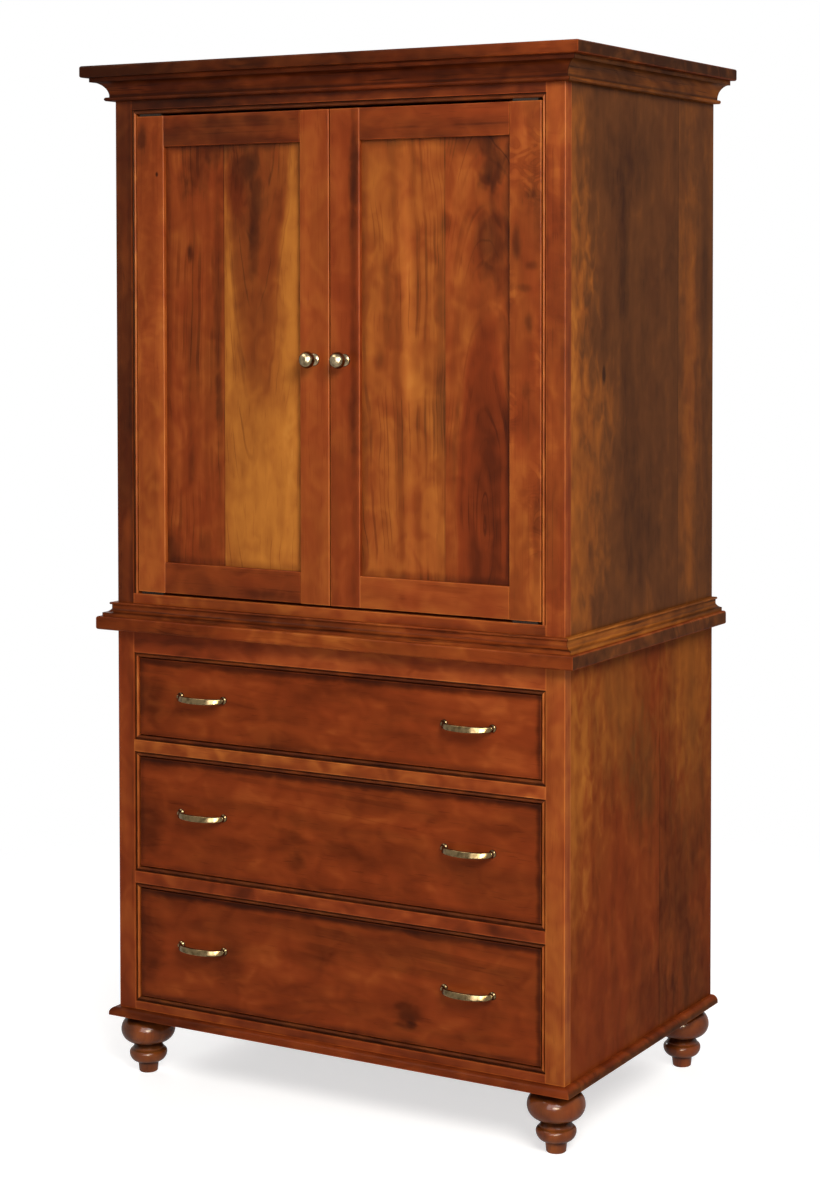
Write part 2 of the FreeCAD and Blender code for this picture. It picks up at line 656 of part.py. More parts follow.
def channel(name, x, y, z, hollow_x):
    """Sheet channel that is open towards one side."""
    bar = block(f"{name}_bar", x, y, z)
    hollow = block(f"{name}_hollow", hollow_x, y, (f"({z[0]} + slide_gauge)", f"({z[1]} - slide_gauge)"))
    return cut(name, bar, [hollow])


blocks = []
rails = []
for opening, low, high in OPENINGS[:3]:
    span = slide_span(low, high)
    for side, sign in SIDES:
        name = f"{opening}_slide_{side}"
        blocks.append(block(f"{name}_block", spread(sign, CLEAR, INSIDE), SLIDE_Y, span))
        rails.append(channel(
            f"{name}_rail",
            spread(sign, f"({BOX_HALF} + slide_gauge + slide_side_play)", CLEAR), SLIDE_Y, span,
            spread(sign, BOX_HALF, f"({CLEAR} - slide_gauge)"),
        ))
node(group("slide_blocks", blocks), "slide_blocks")

TRAY_RAIL_OUT = f"({TRAY_HALF} + tray_play + slide_gauge)"
TRAY_LEDGE = (f"({TRAY_LOW} - tray_play - slide_gauge)", f"({TRAY_LOW} - tray_play)")
SHELF_UNDERSIDE = f"({TRAY_LOW} + tray_drop)"
for side, sign in SIDES:
    name = f"tray_slide_{side}"
    rail_y = (f"({SHELF_FRONT} + arris)", TRAY_BACK)
    web = block(f"{name}_web", spread(sign, f"({TRAY_HALF} + tray_play)", TRAY_RAIL_OUT), rail_y,
                (TRAY_LEDGE[0], SHELF_UNDERSIDE))
    ledge = block(f"{name}_ledge", spread(sign, f"({TRAY_HALF} - slide_thick)", TRAY_RAIL_OUT), rail_y,
                  TRAY_LEDGE)
    flange = block(f"{name}_flange", spread(sign, f"({TRAY_HALF} + tray_play)", f"({TRAY_HALF} + slide_thick)"),
                   rail_y, (f"({SHELF_UNDERSIDE} - slide_gauge)", SHELF_UNDERSIDE))
    rails.append(fuse(f"{name}_rail", [web, ledge, flange]))
node(group("slide_rails", rails), "slide_rails")

# ---------------------------------------------------------------- doors and their knife hinges
DOOR_OUT = f"({CLEAR} - door_side_gap)"
DOOR_IN = "(door_middle_gap / 2)"
DOOR_LOW = f"({DOOR_OPENING} + door_end_gap)"
DOOR_TOP_STOP = f"({UPPER_TOP_RAIL} - bead_width)"
DOOR_HIGH = f"({DOOR_TOP_STOP} - door_end_gap)"
DOOR_FACE = f"({FRONT} + door_setback)"
DOOR_Y = (DOOR_FACE, f"({DOOR_FACE} + door_thick)")
PANEL_Y = (f"({DOOR_FACE} + panel_setback)", f"({DOOR_FACE} + panel_setback + panel_thick)")
GROOVE_Y = (f"({PANEL_Y[0]} - panel_play)", f"({PANEL_Y[1]} + panel_play)")
PIVOT = f"({DOOR_OUT} - pivot_side)"
PIVOT_Y = f"({DOOR_FACE} + pivot_depth)"
LEAF_THICK = "((door_end_gap - leaf_gap) / 2)"
LEAF_Y = (f"({PIVOT_Y} - leaf_width / 2)", f"({PIVOT_Y} + leaf_width / 2)")
PIN_HEIGHT = "(door_end_gap - leaf_gap)"


def grooved(label, x, z, groove_x, groove_z, eased):
    """Member of a door's frame with the panel's groove along its inner edge."""
    member = board(f"{label}_board", x, DOOR_Y, z, eased)
    groove = block(f"{label}_groove", groove_x, GROOVE_Y, groove_z)
    return node(cut(label, member, [groove]), label)


def knob(label, x):
    """Mushroom knob turned about an axis that runs out of the door's face."""
    body = body_of(label)
    neck = "-(knob_reach - knob_head_depth)"
    crest = ("knob_head_radius", f"{neck} - knob_head_depth / 3")
    nose = ("0", "-knob_reach")
    corners = [
        ("0", "0"),
        ("knob_foot_radius", "0"),
        ("knob_foot_radius", "-knob_foot_height"),
        ("knob_stem_radius", "-2 * knob_foot_height"),
        ("knob_stem_radius", neck),
        crest,
        nose,
    ]
    dome = over_rise(crest, nose, "knob_head_round")
    turned(body, outline(body, "XY_Plane", corners, {5: (dome, -1)}), "V_Axis")
    place(body, x, DOOR_FACE, "knob_level")
    return node(body, label)


case_leaves = []
for side, sign in SIDES:
    door = f"door_{side}"
    hinge_x = (f"({DOOR_OUT} - door_stile_width)", DOOR_OUT)
    meeting_x = (DOOR_IN, f"({DOOR_IN} + door_stile_width)")
    rail_x = (meeting_x[1], hinge_x[0])
    in_groove = (f"({rail_x[0]} - groove_depth)", f"({rail_x[1]} + groove_depth)")
    low_rail = (DOOR_LOW, f"({DOOR_LOW} + door_rail_width)")
    high_rail = (f"({DOOR_HIGH} - door_rail_width)", DOOR_HIGH)
    groove_z = (f"({low_rail[1]} - groove_depth)", f"({high_rail[0]} + groove_depth)")
    height = (DOOR_LOW, DOOR_HIGH)
    outer_edge, inner_edge = ("x-y-", "x+y-") if sign < 0 else ("x+y-", "x-y-")
    grooved(f"{door}_hinge_stile", spread(sign, *hinge_x), height,
            spread(sign, hinge_x[0], in_groove[1]), groove_z, (outer_edge, inner_edge))
    grooved(f"{door}_meeting_stile", spread(sign, *meeting_x), height,
            spread(sign, in_groove[0], meeting_x[1]), groove_z, (outer_edge, inner_edge))
    grooved(f"{door}_bottom_rail", spread(sign, *rail_x), low_rail,
            spread(sign, *rail_x), (groove_z[0], low_rail[1]), ("y-z-", "y-z+"))
    grooved(f"{door}_top_rail", spread(sign, *rail_x), high_rail,
            spread(sign, *rail_x), (high_rail[0], groove_z[1]), ("y-z-", "y-z+"))
    node(board(f"{door}_panel",
               spread(sign, f"({in_groove[0]} + panel_play)", f"({in_groove[1]} - panel_play)"), PANEL_Y,
               (f"({groove_z[0]} + panel_play)", f"({groove_z[1]} - panel_play)")), f"{door}_panel")
    knob(f"{door}_knob", f"{sign} * ({DOOR_IN} + door_stile_width / 2)")
    leaf_x = spread(sign, f"({PIVOT} - leaf_length + leaf_width / 2)", f"({PIVOT} + leaf_width / 2)")
    door_leaves = []
    for end, case_low, door_low, pin_low in (
        ("lower", DOOR_OPENING, f"({DOOR_LOW} - {LEAF_THICK})", DOOR_OPENING),
        ("upper", f"({DOOR_TOP_STOP} - {LEAF_THICK})", DOOR_HIGH, f"({DOOR_TOP_STOP} - {PIN_HEIGHT})"),
    ):
        name = f"{door}_{end}"
        leaf = block(f"{name}_case_plate", leaf_x, LEAF_Y, (case_low, f"({case_low} + {LEAF_THICK})"))
        pin = rod(f"{name}_pin", "pivot_radius", PIN_HEIGHT, f"{sign} * {PIVOT}", PIVOT_Y, pin_low)
        case_leaves.append(fuse(f"{name}_case_leaf", [leaf, pin]))
        plate = block(f"{name}_door_plate", leaf_x, LEAF_Y, (door_low, f"({door_low} + {LEAF_THICK})"))
        hole = rod(f"{name}_hole", "pivot_radius + pivot_play", LEAF_THICK, f"{sign} * {PIVOT}", PIVOT_Y,
                   door_low)
        door_leaves.append(cut(f"{name}_door_leaf", plate, [hole]))
    node(group(f"{door}_hinge_leaves", door_leaves), f"{door}_hinge_leaves")
node(group("hinge_case_leaves", case_leaves), "hinge_case_leaves")

# ---------------------------------------------------------------- drawers
DRAWER_FACE = f"({FRONT} + front_setback)"
FRONT_BACK = f"({DRAWER_FACE} + front_thick)"
BOX_BACK = f"({FRONT_BACK} + box_depth)"
BOX_INSIDE = f"({BOX_HALF} - box_thick)"
FRONT_HALF = f"({CLEAR} - front_gap)"


def pull(name, x, z):
    """Bow pull: an oval bar bent between two round feet on the drawer front."""
    body = body_of(f"{name}_bow")
    half = "(pull_centres / 2)"
    reach = "(pull_reach - bow_thick / 2)"
    turn = f"({reach} - pull_corner)"
    spine_corners = [
        (f"-{half}", "0"),
        (f"-{half}", f"-{turn}"),
        (f"-{half} + pull_corner", f"-{reach}"),
        (f"{half} - pull_corner", f"-{reach}"),
        (half, f"-{turn}"),
        (half, "0"),
    ]
    spine = outline(body, "XY_Plane", spine_corners, {1: ("pull_corner", 1), 3: ("pull_corner", 1)},
                    closed=False)
    upright = "(bow_height / 2 - bow_round)"
    section_corners = [
        (f"-{half} - bow_thick / 2", f"-{upright}"),
        (f"-{half} + bow_thick / 2", f"-{upright}"),
        (f"-{half} + bow_thick / 2", upright),
        (f"-{half} - bow_thick / 2", upright),
    ]
    end_arc = over_rise(section_corners[0], section_corners[1], "bow_round")
    section = outline(body, "XZ_Plane", section_corners, {0: (end_arc, 1), 2: (end_arc, 1)})
    pipe = body.newObject("PartDesign::AdditivePipe", f"{name}_pipe")
    pipe.Profile = section
    pipe.Spine = spine
    place(body, x, DRAWER_FACE, z)
    feet = [
        rod(f"{name}_foot_{side}", "pull_foot_radius", "pull_foot_height", f"{x} + {sign} * {half}",
            DRAWER_FACE, z, (0, -1, 0))
        for side, sign in SIDES
    ]
    return fuse(name, [body] + feet)


for opening, low, high in OPENINGS[:3]:
    drawer = f"drawer_{opening}"
    face_z = (f"({low} + bead_width + front_gap)", f"({high} - bead_width - front_gap)")
    node(board(f"{drawer}_front", (f"-{FRONT_HALF}", FRONT_HALF), (DRAWER_FACE, FRONT_BACK), face_z,
               ("x-y-", "x+y-", "y-z-", "y-z+")), f"{drawer}_front")
    box_z = box_span(low, high)
    inside_x = (f"-{BOX_INSIDE}", BOX_INSIDE)
    end_y = (f"({FRONT_BACK} + box_thick)", f"({BOX_BACK} - box_thick)")
    boards = [
        board(f"{drawer}_box_{side}", spread(sign, BOX_INSIDE, BOX_HALF), (FRONT_BACK, BOX_BACK), box_z)
        for side, sign in SIDES
    ]
    boards.append(board(f"{drawer}_box_front", inside_x, (FRONT_BACK, end_y[0]), box_z))
    boards.append(board(f"{drawer}_box_back", inside_x, (end_y[1], BOX_BACK), box_z))
    boards.append(board(f"{drawer}_box_bottom", inside_x, end_y,
                        (f"({box_z[0]} + box_bottom_rise)",
                         f"({box_z[0]} + box_bottom_rise + box_bottom_thick)")))
    node(group(f"{drawer}_box", boards), f"{drawer}_box")
    pull_level = f"(({face_z[0]} + {face_z[1]}) / 2 + pull_rise)"
    node(group(f"{drawer}_pulls", [
        pull(f"{drawer}_pull_{side}", f"{sign} * pull_spread", pull_level) for side, sign in SIDES
    ]), f"{drawer}_pulls")
    inner_span = slide_span(low, high, "slide_gauge + slide_play")
    node(group(f"{drawer}_slides", [
        channel(f"{drawer}_slide_{side}",
                spread(sign, BOX_HALF, f"({CLEAR} - slide_gauge - slide_side_play)"), SLIDE_Y, inner_span,
                spread(sign, f"({BOX_HALF} + slide_gauge)", CLEAR))
        for side, sign in SIDES
    ]), f"{drawer}_slides")

# ---------------------------------------------------------------- check and write
doc.recompute()
for thing in doc.Objects:
    if "Invalid" in thing.State or "Error" in thing.State:
        raise RuntimeError(f"{thing.Name} failed: {thing.State}")
for piece in NODES:
    if piece.Shape.isNull() or not piece.Shape.isValid() or not piece.Shape.Solids:
        raise RuntimeError(f"{piece.Label} has no valid solid")
for piece in NODES:
    piece.Shape.exportStep(f"parts/{piece.Label}.step")
    box = piece.Shape.BoundBox
    print(f"{piece.Label}: {len(piece.Shape.Solids)} solids, "
          f"{box.XLength:.1f} x {box.YLength:.1f} x {box.ZLength:.1f}")
print(len(NODES), "sub-parts")
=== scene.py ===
import math

import bpy
import numpy as np
from mathutils import Matrix, Vector


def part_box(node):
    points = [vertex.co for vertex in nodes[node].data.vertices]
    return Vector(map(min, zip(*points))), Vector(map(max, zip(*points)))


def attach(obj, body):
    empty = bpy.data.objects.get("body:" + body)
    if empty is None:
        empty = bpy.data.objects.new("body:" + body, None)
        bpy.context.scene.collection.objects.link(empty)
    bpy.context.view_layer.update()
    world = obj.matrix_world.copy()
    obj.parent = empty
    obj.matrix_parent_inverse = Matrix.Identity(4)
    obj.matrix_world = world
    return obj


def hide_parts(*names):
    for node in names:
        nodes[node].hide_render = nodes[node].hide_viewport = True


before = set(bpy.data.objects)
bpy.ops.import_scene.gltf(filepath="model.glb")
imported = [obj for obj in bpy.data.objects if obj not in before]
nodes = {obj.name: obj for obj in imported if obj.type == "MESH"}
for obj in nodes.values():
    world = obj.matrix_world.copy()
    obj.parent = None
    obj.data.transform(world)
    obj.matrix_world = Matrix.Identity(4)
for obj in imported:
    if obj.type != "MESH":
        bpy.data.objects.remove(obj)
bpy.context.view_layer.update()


# ---------------------------------------------------------------- turned feet
# Four feet turned from square cherry blanks: toe, bead, ring, neck, ball and cap.
# Stained, painted darker in the neck, over the toe and under the cap as painted shade, and sprayed with satin
# lacquer; a dowel on top goes into the base.

class Bench:
    """Lays out the nodes of one material or group; each call gives back the socket it makes."""

    def __init__(self, tree):
        self.tree = tree

    def feed(self, socket, value):
        """A socket takes the output of another node, or a plain value."""
        if isinstance(value, bpy.types.NodeSocket):
            self.tree.links.new(value, socket)
        else:
            socket.default_value = value

    def node(self, kind, values, **settings):
        made = self.tree.nodes.new("ShaderNode" + kind)
        for name, value in settings.items():
            setattr(made, name, value)
        for socket, value in values.items():
            self.feed(made.inputs[socket], value)
        return made

    def group(self, tree, **values):
        made = self.tree.nodes.new("ShaderNodeGroup")
        made.node_tree = tree
        for name, value in values.items():
            self.feed(made.inputs[name.replace("_", " ").title()], value)
        return made.outputs

    def math(self, operation, *values):
        return self.node("Math", dict(enumerate(values)), operation=operation).outputs[0]

    def plus(self, first, second):
        return self.math("ADD", first, second)

    def minus(self, first, second):
        return self.math("SUBTRACT", first, second)

    def times(self, first, second):
        return self.math("MULTIPLY", first, second)

    def scaled(self, value, gain, base):
        """value * gain + base"""
        return self.math("MULTIPLY_ADD", value, gain, base)

    def swing(self, noise, gain, base):
        """Noise about its middle, (noise - 0.5) * gain + base."""
        return self.scaled(self.minus(noise, 0.5), gain, base)

    def off(self, value, middle):
        """Distance of a value from a middle, |value - middle|."""
        return self.math("ABSOLUTE", self.minus(value, middle))

    def vector(self, operation, *values):
        made = self.node("VectorMath", dict(enumerate(values)), operation=operation)
        return made.outputs["Value" if operation in ("LENGTH", "DOT_PRODUCT") else "Vector"]

    def split(self, vector):
        return self.node("SeparateXYZ", {0: vector}).outputs

    def join(self, x, y, z):
        return self.node("CombineXYZ", {0: x, 1: y, 2: z}).outputs[0]

    def noise(self, vector, stretch, detail=2.0, roughness=0.5, distortion=0.0):
        """Smooth noise; stretch is how many lumps a metre holds along each axis."""
        place = self.vector("MULTIPLY", vector, stretch)
        return self.node("TexNoise", {"Vector": place, "Scale": 1.0, "Detail": detail,
                                      "Roughness": roughness, "Distortion": distortion}).outputs[0]

    def noise_line(self, value, scale, detail=1.0):
        """Noise along one number, such as the distance from the pith."""
        return self.node("TexNoise", {"W": value, "Scale": scale, "Detail": detail},
                         noise_dimensions="1D").outputs[0]

    def step(self, value, low, high, start=0.0, end=1.0):
        """Smooth step from start to end while value goes from low to high."""
        return self.node("MapRange", {0: value, 1: low, 2: high, 3: start, 4: end},
                         interpolation_type="SMOOTHSTEP").outputs[0]

    def ramp(self, value, stops, interpolation="LINEAR"):
        made = self.node("ValToRGB", {0: value})
        made.color_ramp.interpolation = interpolation
        made.color_ramp.elements.remove(made.color_ramp.elements[1])
        elements = made.color_ramp.elements
        for number, (place, colour) in enumerate(stops):
            element = elements.new(place) if number else elements[0]
            element.position, element.color = place, (*colour, 1.0)
        return made.outputs[0]

    def blend(self, share, first, second):
        return self.node("Mix", {0: share, 6: first, 7: second}, data_type="RGBA").outputs[2]

    def surface(self, colour, roughness, height, relief, strength=0.6):
        """Wires colour, roughness and a bump of that height, in metres, into the shader and gives it back."""
        shader = self.tree.nodes["Principled BSDF"]
        normal = self.node("Bump", {"Height": height, "Distance": relief, "Strength": strength}).outputs[0]
        for socket, value in (("Base Color", colour), ("Roughness", roughness), ("Normal", normal)):
            self.feed(shader.inputs[socket], value)
        return shader

    def shown(self):
        """One for what the eye, a mirror or a glass sees of a surface, nought for the light it gives."""
        ray = self.node("LightPath", {}).outputs
        mirrored = self.math("MAXIMUM", ray["Is Glossy Ray"], ray["Is Transmission Ray"])
        return self.math("MAXIMUM", ray["Is Camera Ray"], mirrored)


def shader_group(name, inputs, outputs):
    """Empty node group; inputs give each socket's default, outputs its kind."""
    tree = bpy.data.node_groups.new(name, "ShaderNodeTree")
    for label, default in inputs.items():
        kind = "Vector" if isinstance(default, tuple) else "Float"
        socket = tree.interface.new_socket(label, in_out="INPUT", socket_type="NodeSocket" + kind)
        socket.default_value = default
    for label, kind in outputs.items():
        tree.interface.new_socket(label, in_out="OUTPUT", socket_type="NodeSocket" + kind)
    entry = tree.nodes.new("NodeGroupInput").outputs
    leave = tree.nodes.new("NodeGroupOutput").inputs
    return Bench(tree), entry, lambda label, socket: tree.links.new(socket, leave[label])


def make_wood_figure():
    """Figure of a sawn board, worked out in board space: x across, y into the wood, z along the grain.

    The distance from a wandering pith line, sqrt(side^2 + behind^2), gives growth bands and fine lines;
    stretched noise adds blotches, streaks, curl and fibres; a heart radius darkens the middle of the log.
    """
    bench, given, give = shader_group("wood figure", {
        "Board": (0.0, 0.0, 0.0), "Seed": 0.0, "Pith Across": 0.0, "Pith Depth": 0.08, "Lean": 0.0,
        "Heart Radius": 0.0, "Heart": 0.0, "Tone": 0.0, "Gold": 0.3, "Bands": 0.5, "Blotch": 0.5,
        "Streak": 0.4, "Curl": 0.0,
    }, {"Tone": "Float", "Gold": "Float", "Height": "Float", "Dull": "Float"})
    seed = given["Seed"]
    shift = bench.join(bench.times(seed, 3.13), bench.times(seed, 1.71), seed)
    place = bench.vector("ADD", given["Board"], shift)
    across, depth, along = bench.split(given["Board"])[:3]

    # the pith line wanders: slow bends, ripples and a quiver
    wander = bench.noise(place, (2.6, 2.6, 1.3), 3.0, 0.5)
    ripple = bench.noise(place, (11.0, 11.0, 5.0), 2.0, 0.5)
    quiver = bench.noise(place, (34.0, 34.0, 17.0), 1.0)
    bend = bench.plus(bench.scaled(wander, 0.08, -0.04), bench.scaled(ripple, 0.034, -0.017))
    bend = bench.plus(bend, bench.scaled(quiver, 0.007, -0.0035))
    grown = bench.vector("ADD", place, bench.join(bend, 0.0, 0.0))
    side = bench.plus(bench.minus(across, given["Pith Across"]), bench.times(bend, 0.55))
    behind = bench.minus(bench.scaled(given["Lean"], along, given["Pith Depth"]), depth)
    behind = bench.plus(behind, bench.times(bend, 0.35))
    radius = bench.vector("LENGTH", bench.join(side, behind, 0.0))
    year = bench.plus(radius, seed)
    wide = bench.noise_line(year, 30.0, 1.5)
    fine = bench.noise_line(year, 62.0, 1.0)

    # the heartwood darkens inside its radius, with a broken line along its rim
    past_heart = bench.minus(radius, given["Heart Radius"])
    rind = bench.step(bench.math("ABSOLUTE", past_heart), 0.0, 0.0016, 0.6, 0.0)
    rind = bench.times(rind, bench.step(bench.noise(place, (16.0, 16.0, 9.0), 2.0), 0.40, 0.60))
    rind = bench.times(rind, given["Heart"])
    heart = bench.times(bench.step(past_heart, -0.010, 0.003, 1.0, 0.0), given["Heart"])

    blotch = bench.noise(grown, (13.0, 13.0, 6.5), 2.0, 0.5, 0.5)
    mottle = bench.noise(grown, (30.0, 30.0, 20.0), 1.0, 0.45, 0.7)
    streak = bench.noise(grown, (38.0, 38.0, 2.6), 1.0, 0.5)
    curl = bench.noise(grown, (24.0, 24.0, 34.0), 1.0, 0.4, 1.5)
    where = bench.step(bench.noise(place, (9.0, 9.0, 5.0), 1.0), 0.40, 0.58)
    fibre = bench.noise(place, (900.0, 900.0, 30.0), 1.0)
    flecks = bench.step(bench.noise(place, (420.0, 420.0, 26.0), 0.0), 0.74, 0.82)
    lines = bench.step(bench.off(fine, 0.5), 0.004, 0.040, 1.0, 0.0)
    lines = bench.times(lines, bench.step(bench.noise(place, (10.0, 10.0, 8.0), 2.0), 0.44, 0.66))
    ring = bench.step(bench.off(curl, 0.5), 0.0, 0.060, 1.0, 0.0)

    tone = bench.plus(given["Tone"], 0.5)
    for part, amount, gain in (
        (wide, given["Bands"], 0.45), (streak, given["Streak"], 0.50), (blotch, given["Blotch"], 0.85),
        (mottle, given["Blotch"], 0.55),
    ):
        tone = bench.scaled(bench.times(bench.minus(part, 0.5), amount), gain, tone)
    curled = bench.scaled(ring, -0.16, bench.minus(curl, 0.5))
    curled = bench.times(bench.times(curled, given["Curl"]), where)
    tone = bench.swing(fibre, 0.09, bench.plus(tone, curled))
    tone = bench.scaled(lines, bench.times(given["Bands"], -0.20), tone)
    tone = bench.scaled(flecks, -0.07, tone)
    tone = bench.minus(bench.minus(tone, heart), rind)

    warm = bench.noise(grown, (9.0, 9.0, 2.2), 2.0, 0.5, 0.4)
    gold = bench.swing(mottle, 0.45, bench.swing(warm, 0.55, given["Gold"]))
    gold = bench.scaled(heart, -2.2, bench.scaled(curled, 0.6, gold))
    height = bench.scaled(flecks, -0.9, bench.times(fibre, 0.7))
    give("Tone", tone)
    give("Gold", bench.step(gold, 0.0, 1.0))
    give("Height", bench.scaled(lines, -0.35, height))
    give("Dull", bench.scaled(fibre, 0.35, bench.times(blotch, 0.65)))
    return bench.tree


def make_cherry_colour():
    """Stained cherry from deep brown to golden: one ramp for red heartwood, one for golden wood."""
    bench, given, give = shader_group("cherry colour", {"Tone": 0.5, "Gold": 0.3}, {"Color": "Color"})
    red = bench.ramp(given["Tone"], (
        (0.0, (0.030, 0.0056, 0.0014)), (0.25, (0.082, 0.0130, 0.0026)), (0.5, (0.190, 0.0300, 0.0060)),
        (0.75, (0.330, 0.0680, 0.0140)), (1.0, (0.500, 0.1400, 0.0330)),
    ))
    golden = bench.ramp(given["Tone"], (
        (0.0, (0.038, 0.0120, 0.0036)), (0.25, (0.104, 0.0325, 0.0080)), (0.5, (0.245, 0.0700, 0.0110)),
        (0.75, (0.420, 0.1420, 0.0210)), (1.0, (0.600, 0.2550, 0.0480)),
    ))
    give("Color", bench.blend(given["Gold"], red, golden))
    return bench.tree


def make_stain_and_shade_patch():
    """Soft-edged patch of darker or lighter colour, for stains in the wood and for painted shade and light:
    an ellipse across and along the grain, ragged by noise.
    """
    bench, given, give = shader_group("stain and shade patch", {
        "Board": (0.0, 0.0, 0.0), "Across": 0.0, "Along": 0.0, "Half Width": 0.02, "Half Length": 0.05,
    }, {"Mask": "Float"})
    across, _, along = bench.split(given["Board"])[:3]
    reach = bench.vector("LENGTH", bench.join(
        bench.math("DIVIDE", bench.minus(across, given["Across"]), given["Half Width"]),
        bench.math("DIVIDE", bench.minus(along, given["Along"]), given["Half Length"]), 0.0))
    reach = bench.swing(bench.noise(given["Board"], (40.0, 40.0, 20.0), 2.0, 0.5, 0.6), 1.3, reach)
    give("Mask", bench.step(reach, 0.15, 1.35, 1.0, 0.0))
    return bench.tree


def make_eased_edge():
    """Mask of a board's long edges: one where the second smallest distance to the faces of its box is
    nought, falling to nought at 3.5 mm."""
    bench, given, give = shader_group("eased edge", {
        "Place": (0.0, 0.0, 0.0), "Low": (0.0, 0.0, 0.0), "High": (1.0, 1.0, 1.0),
    }, {"Mask": "Float"})
    near = bench.vector("MINIMUM", bench.vector("SUBTRACT", given["Place"], given["Low"]),
                        bench.vector("SUBTRACT", given["High"], given["Place"]))
    x, y, z = bench.split(near)[:3]
    second = bench.math("MAXIMUM", bench.math("MINIMUM", x, y),
                        bench.math("MINIMUM", bench.math("MAXIMUM", x, y), z))
    second = bench.scaled(bench.noise(given["Place"], (35.0, 35.0, 35.0), 2.0), 0.0016, second)
    give("Mask", bench.minus(1.0, bench.math("DIVIDE", second, 0.00352)))
    return bench.tree


wood_figure = make_wood_figure()
cherry_colour = make_cherry_colour()
stain_and_shade_patch = make_stain_and_shade_patch()
eased_edge = make_eased_edge()

OUTWARDS = {  # way across and way along the grain, so that the way into the wood is away from the face
    "front upright": ((1, 0, 0), (0, 0, 1)), "front level": ((0, 0, -1), (1, 0, 0)),
    "right upright": ((0, 1, 0), (0, 0, 1)), "left upright": ((0, -1, 0), (0, 0, 1)),
    "back upright": ((-1, 0, 0), (0, 0, 1)), "top level": ((0, -1, 0), (1, 0, 0)),
    "right level": ((0, 0, 1), (0, 1, 0)),
}


def board_space(bench, lie, middle):
    """Board coordinates from the object's: turned so that z runs with the grain, centred on middle."""
    across, along = (Vector(way) for way in OUTWARDS[lie])
    turn = Matrix((across, along.cross(across), along))
    place = bench.node("TexCoord", {}).outputs
    board = bench.node("Mapping", {
        "Vector": place["Object"], "Location": -(turn @ Vector(middle)), "Rotation": turn.to_euler(),
    }).outputs[0]
    end = bench.math("ABSOLUTE", bench.vector("DOT_PRODUCT", place["Normal"], tuple(along)))
    return place["Object"], board, bench.math("POWER", end, 6.0)


def lacquer(bench, colour, dull, height, gloss=0.36, sheen=0.12, polish=0.30):
    """Satin lacquer over stained wood, with the grain just felt through it; the lacquer is the coat."""
    shader = bench.surface(colour, bench.scaled(dull, 0.16, gloss - 0.08), height, 0.00016, 0.8)
    for socket, value in (("Specular IOR Level", 0.0), ("Coat Weight", sheen), ("Coat Roughness", polish)):
        shader.inputs[socket].default_value = value


def stained(bench, gloss, sheen, polish=0.30, **figure):
    """Cherry of that figure, stained and lacquered."""
    figured = bench.group(wood_figure, **figure)
    colour = bench.group(cherry_colour, tone=figured["Tone"], gold=figured["Gold"])[0]
    lacquer(bench, colour, figured["Dull"], figured["Height"], gloss, sheen, polish)


def new_finish(name):
    material = bpy.data.materials.new(name)
    material.use_nodes = True
    return material, Bench(material.node_tree)


